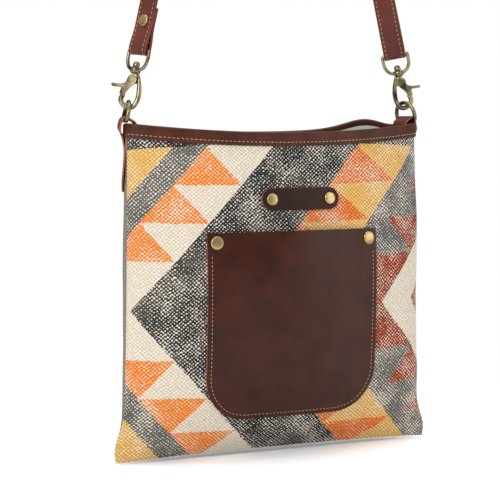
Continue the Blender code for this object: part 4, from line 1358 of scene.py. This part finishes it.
# %% Floor, backdrop and light
floor_look, tree, shader = build_material("pale floor")
fill(shader, {"Base Color": (0.93, 0.93, 0.93, 1), "Roughness": 0.9})
spot = new_node(tree, "ShaderNodeNewGeometry").outputs["Position"]
reach_out = new_node(tree, "ShaderNodeVectorMath", operation="DISTANCE")
fill(reach_out, {0: spot, 1: (0, 0, DROP.z)})
far = ramp(reach_out.outputs["Value"], 0.25, 0.55)
seen = new_node(tree, "ShaderNodeLightPath").outputs["Is Camera Ray"]
white = new_node(tree, "ShaderNodeEmission")
blend = new_node(tree, "ShaderNodeMixShader")
share = maths("MULTIPLY", far, seen)
fill(blend, {0: share, 1: shader.outputs[0], 2: white.outputs[0]})
feed(tree.nodes["Material Output"].inputs["Surface"], blend.outputs[0])
floor_mesh = bpy.data.meshes.new("floor")
FLOOR_HALF = 9
floor_z = DROP.z - CORNER_DROP - 0.0015
corners = [(x * FLOOR_HALF, y * FLOOR_HALF, floor_z) for x, y in ((-1, -1), (1, -1), (1, 1), (-1, 1))]
floor_mesh.from_pydata(corners, [], [(0, 1, 2, 3)])
floor_mesh.materials.append(floor_look)
link_object("floor", floor_mesh)

world = bpy.data.worlds.new("white studio")
world.use_nodes = True
bpy.context.scene.world = world
tree = world.node_tree
sky = tree.nodes["Background"]
# The camera sees white; the metal mirrors a sky that is darker low down.
seen = new_node(tree, "ShaderNodeLightPath").outputs["Is Camera Ray"]
heading = new_node(tree, "ShaderNodeTexCoord").outputs["Generated"]
climb = new_node(tree, "ShaderNodeSeparateXYZ")
feed(climb.inputs[0], heading)
studio = ramp(climb.outputs[2], -0.05, 0.55, 0.22, 0.78)
pick = new_node(tree, "ShaderNodeMix", data_type="FLOAT")
fill(pick, {0: seen, 2: studio, 3: 1.0})
fill(sky, {"Color": (1, 1, 1, 1), "Strength": pick.outputs[0]})


def add_lamp(name, place, target, size, energy):
    data = bpy.data.lights.new(name, "AREA")
    data.shape = "SQUARE"
    data.size = size
    data.energy = energy
    lamp = link_object(name, data)
    lamp.location = place
    direction = Vector(target) - Vector(place)
    lamp.rotation_euler = direction.to_track_quat("-Z", "Y").to_euler()


middle = (0, 0, DROP.z + 0.15)
add_lamp("key", (-1.9, -1.3, DROP.z + 1.3), middle, 1.1, 38)
add_lamp("top", (0.2, 0.3, DROP.z + 2.2), middle, 1.8, 40)
add_lamp("fill", (1.7, -1.7, DROP.z + 0.7), middle, 1.4, 14)
print("floor, world and lamps made")

# %% [markdown]
# The camera is fitted to the photo's rim, corners, pocket and clasps. Its focal length is 1800
# pixels in a frame 500 pixels wide.

# %% Camera
camera_data = bpy.data.cameras.new("camera")
camera_data.sensor_width = 36
camera_data.lens = 36 * 1800 / 500
camera = link_object("camera", camera_data)
camera.location = Vector((-0.770, -1.4685, 0.3058)) + DROP
aim = Vector((-0.0210, 0.0017, 0.1817)) + DROP - camera.location
camera.rotation_euler = aim.to_track_quat("-Z", "Y").to_euler()
bpy.context.scene.camera = camera
bpy.context.scene.view_settings.view_transform = "Standard"
bpy.context.scene.view_settings.look = "None"
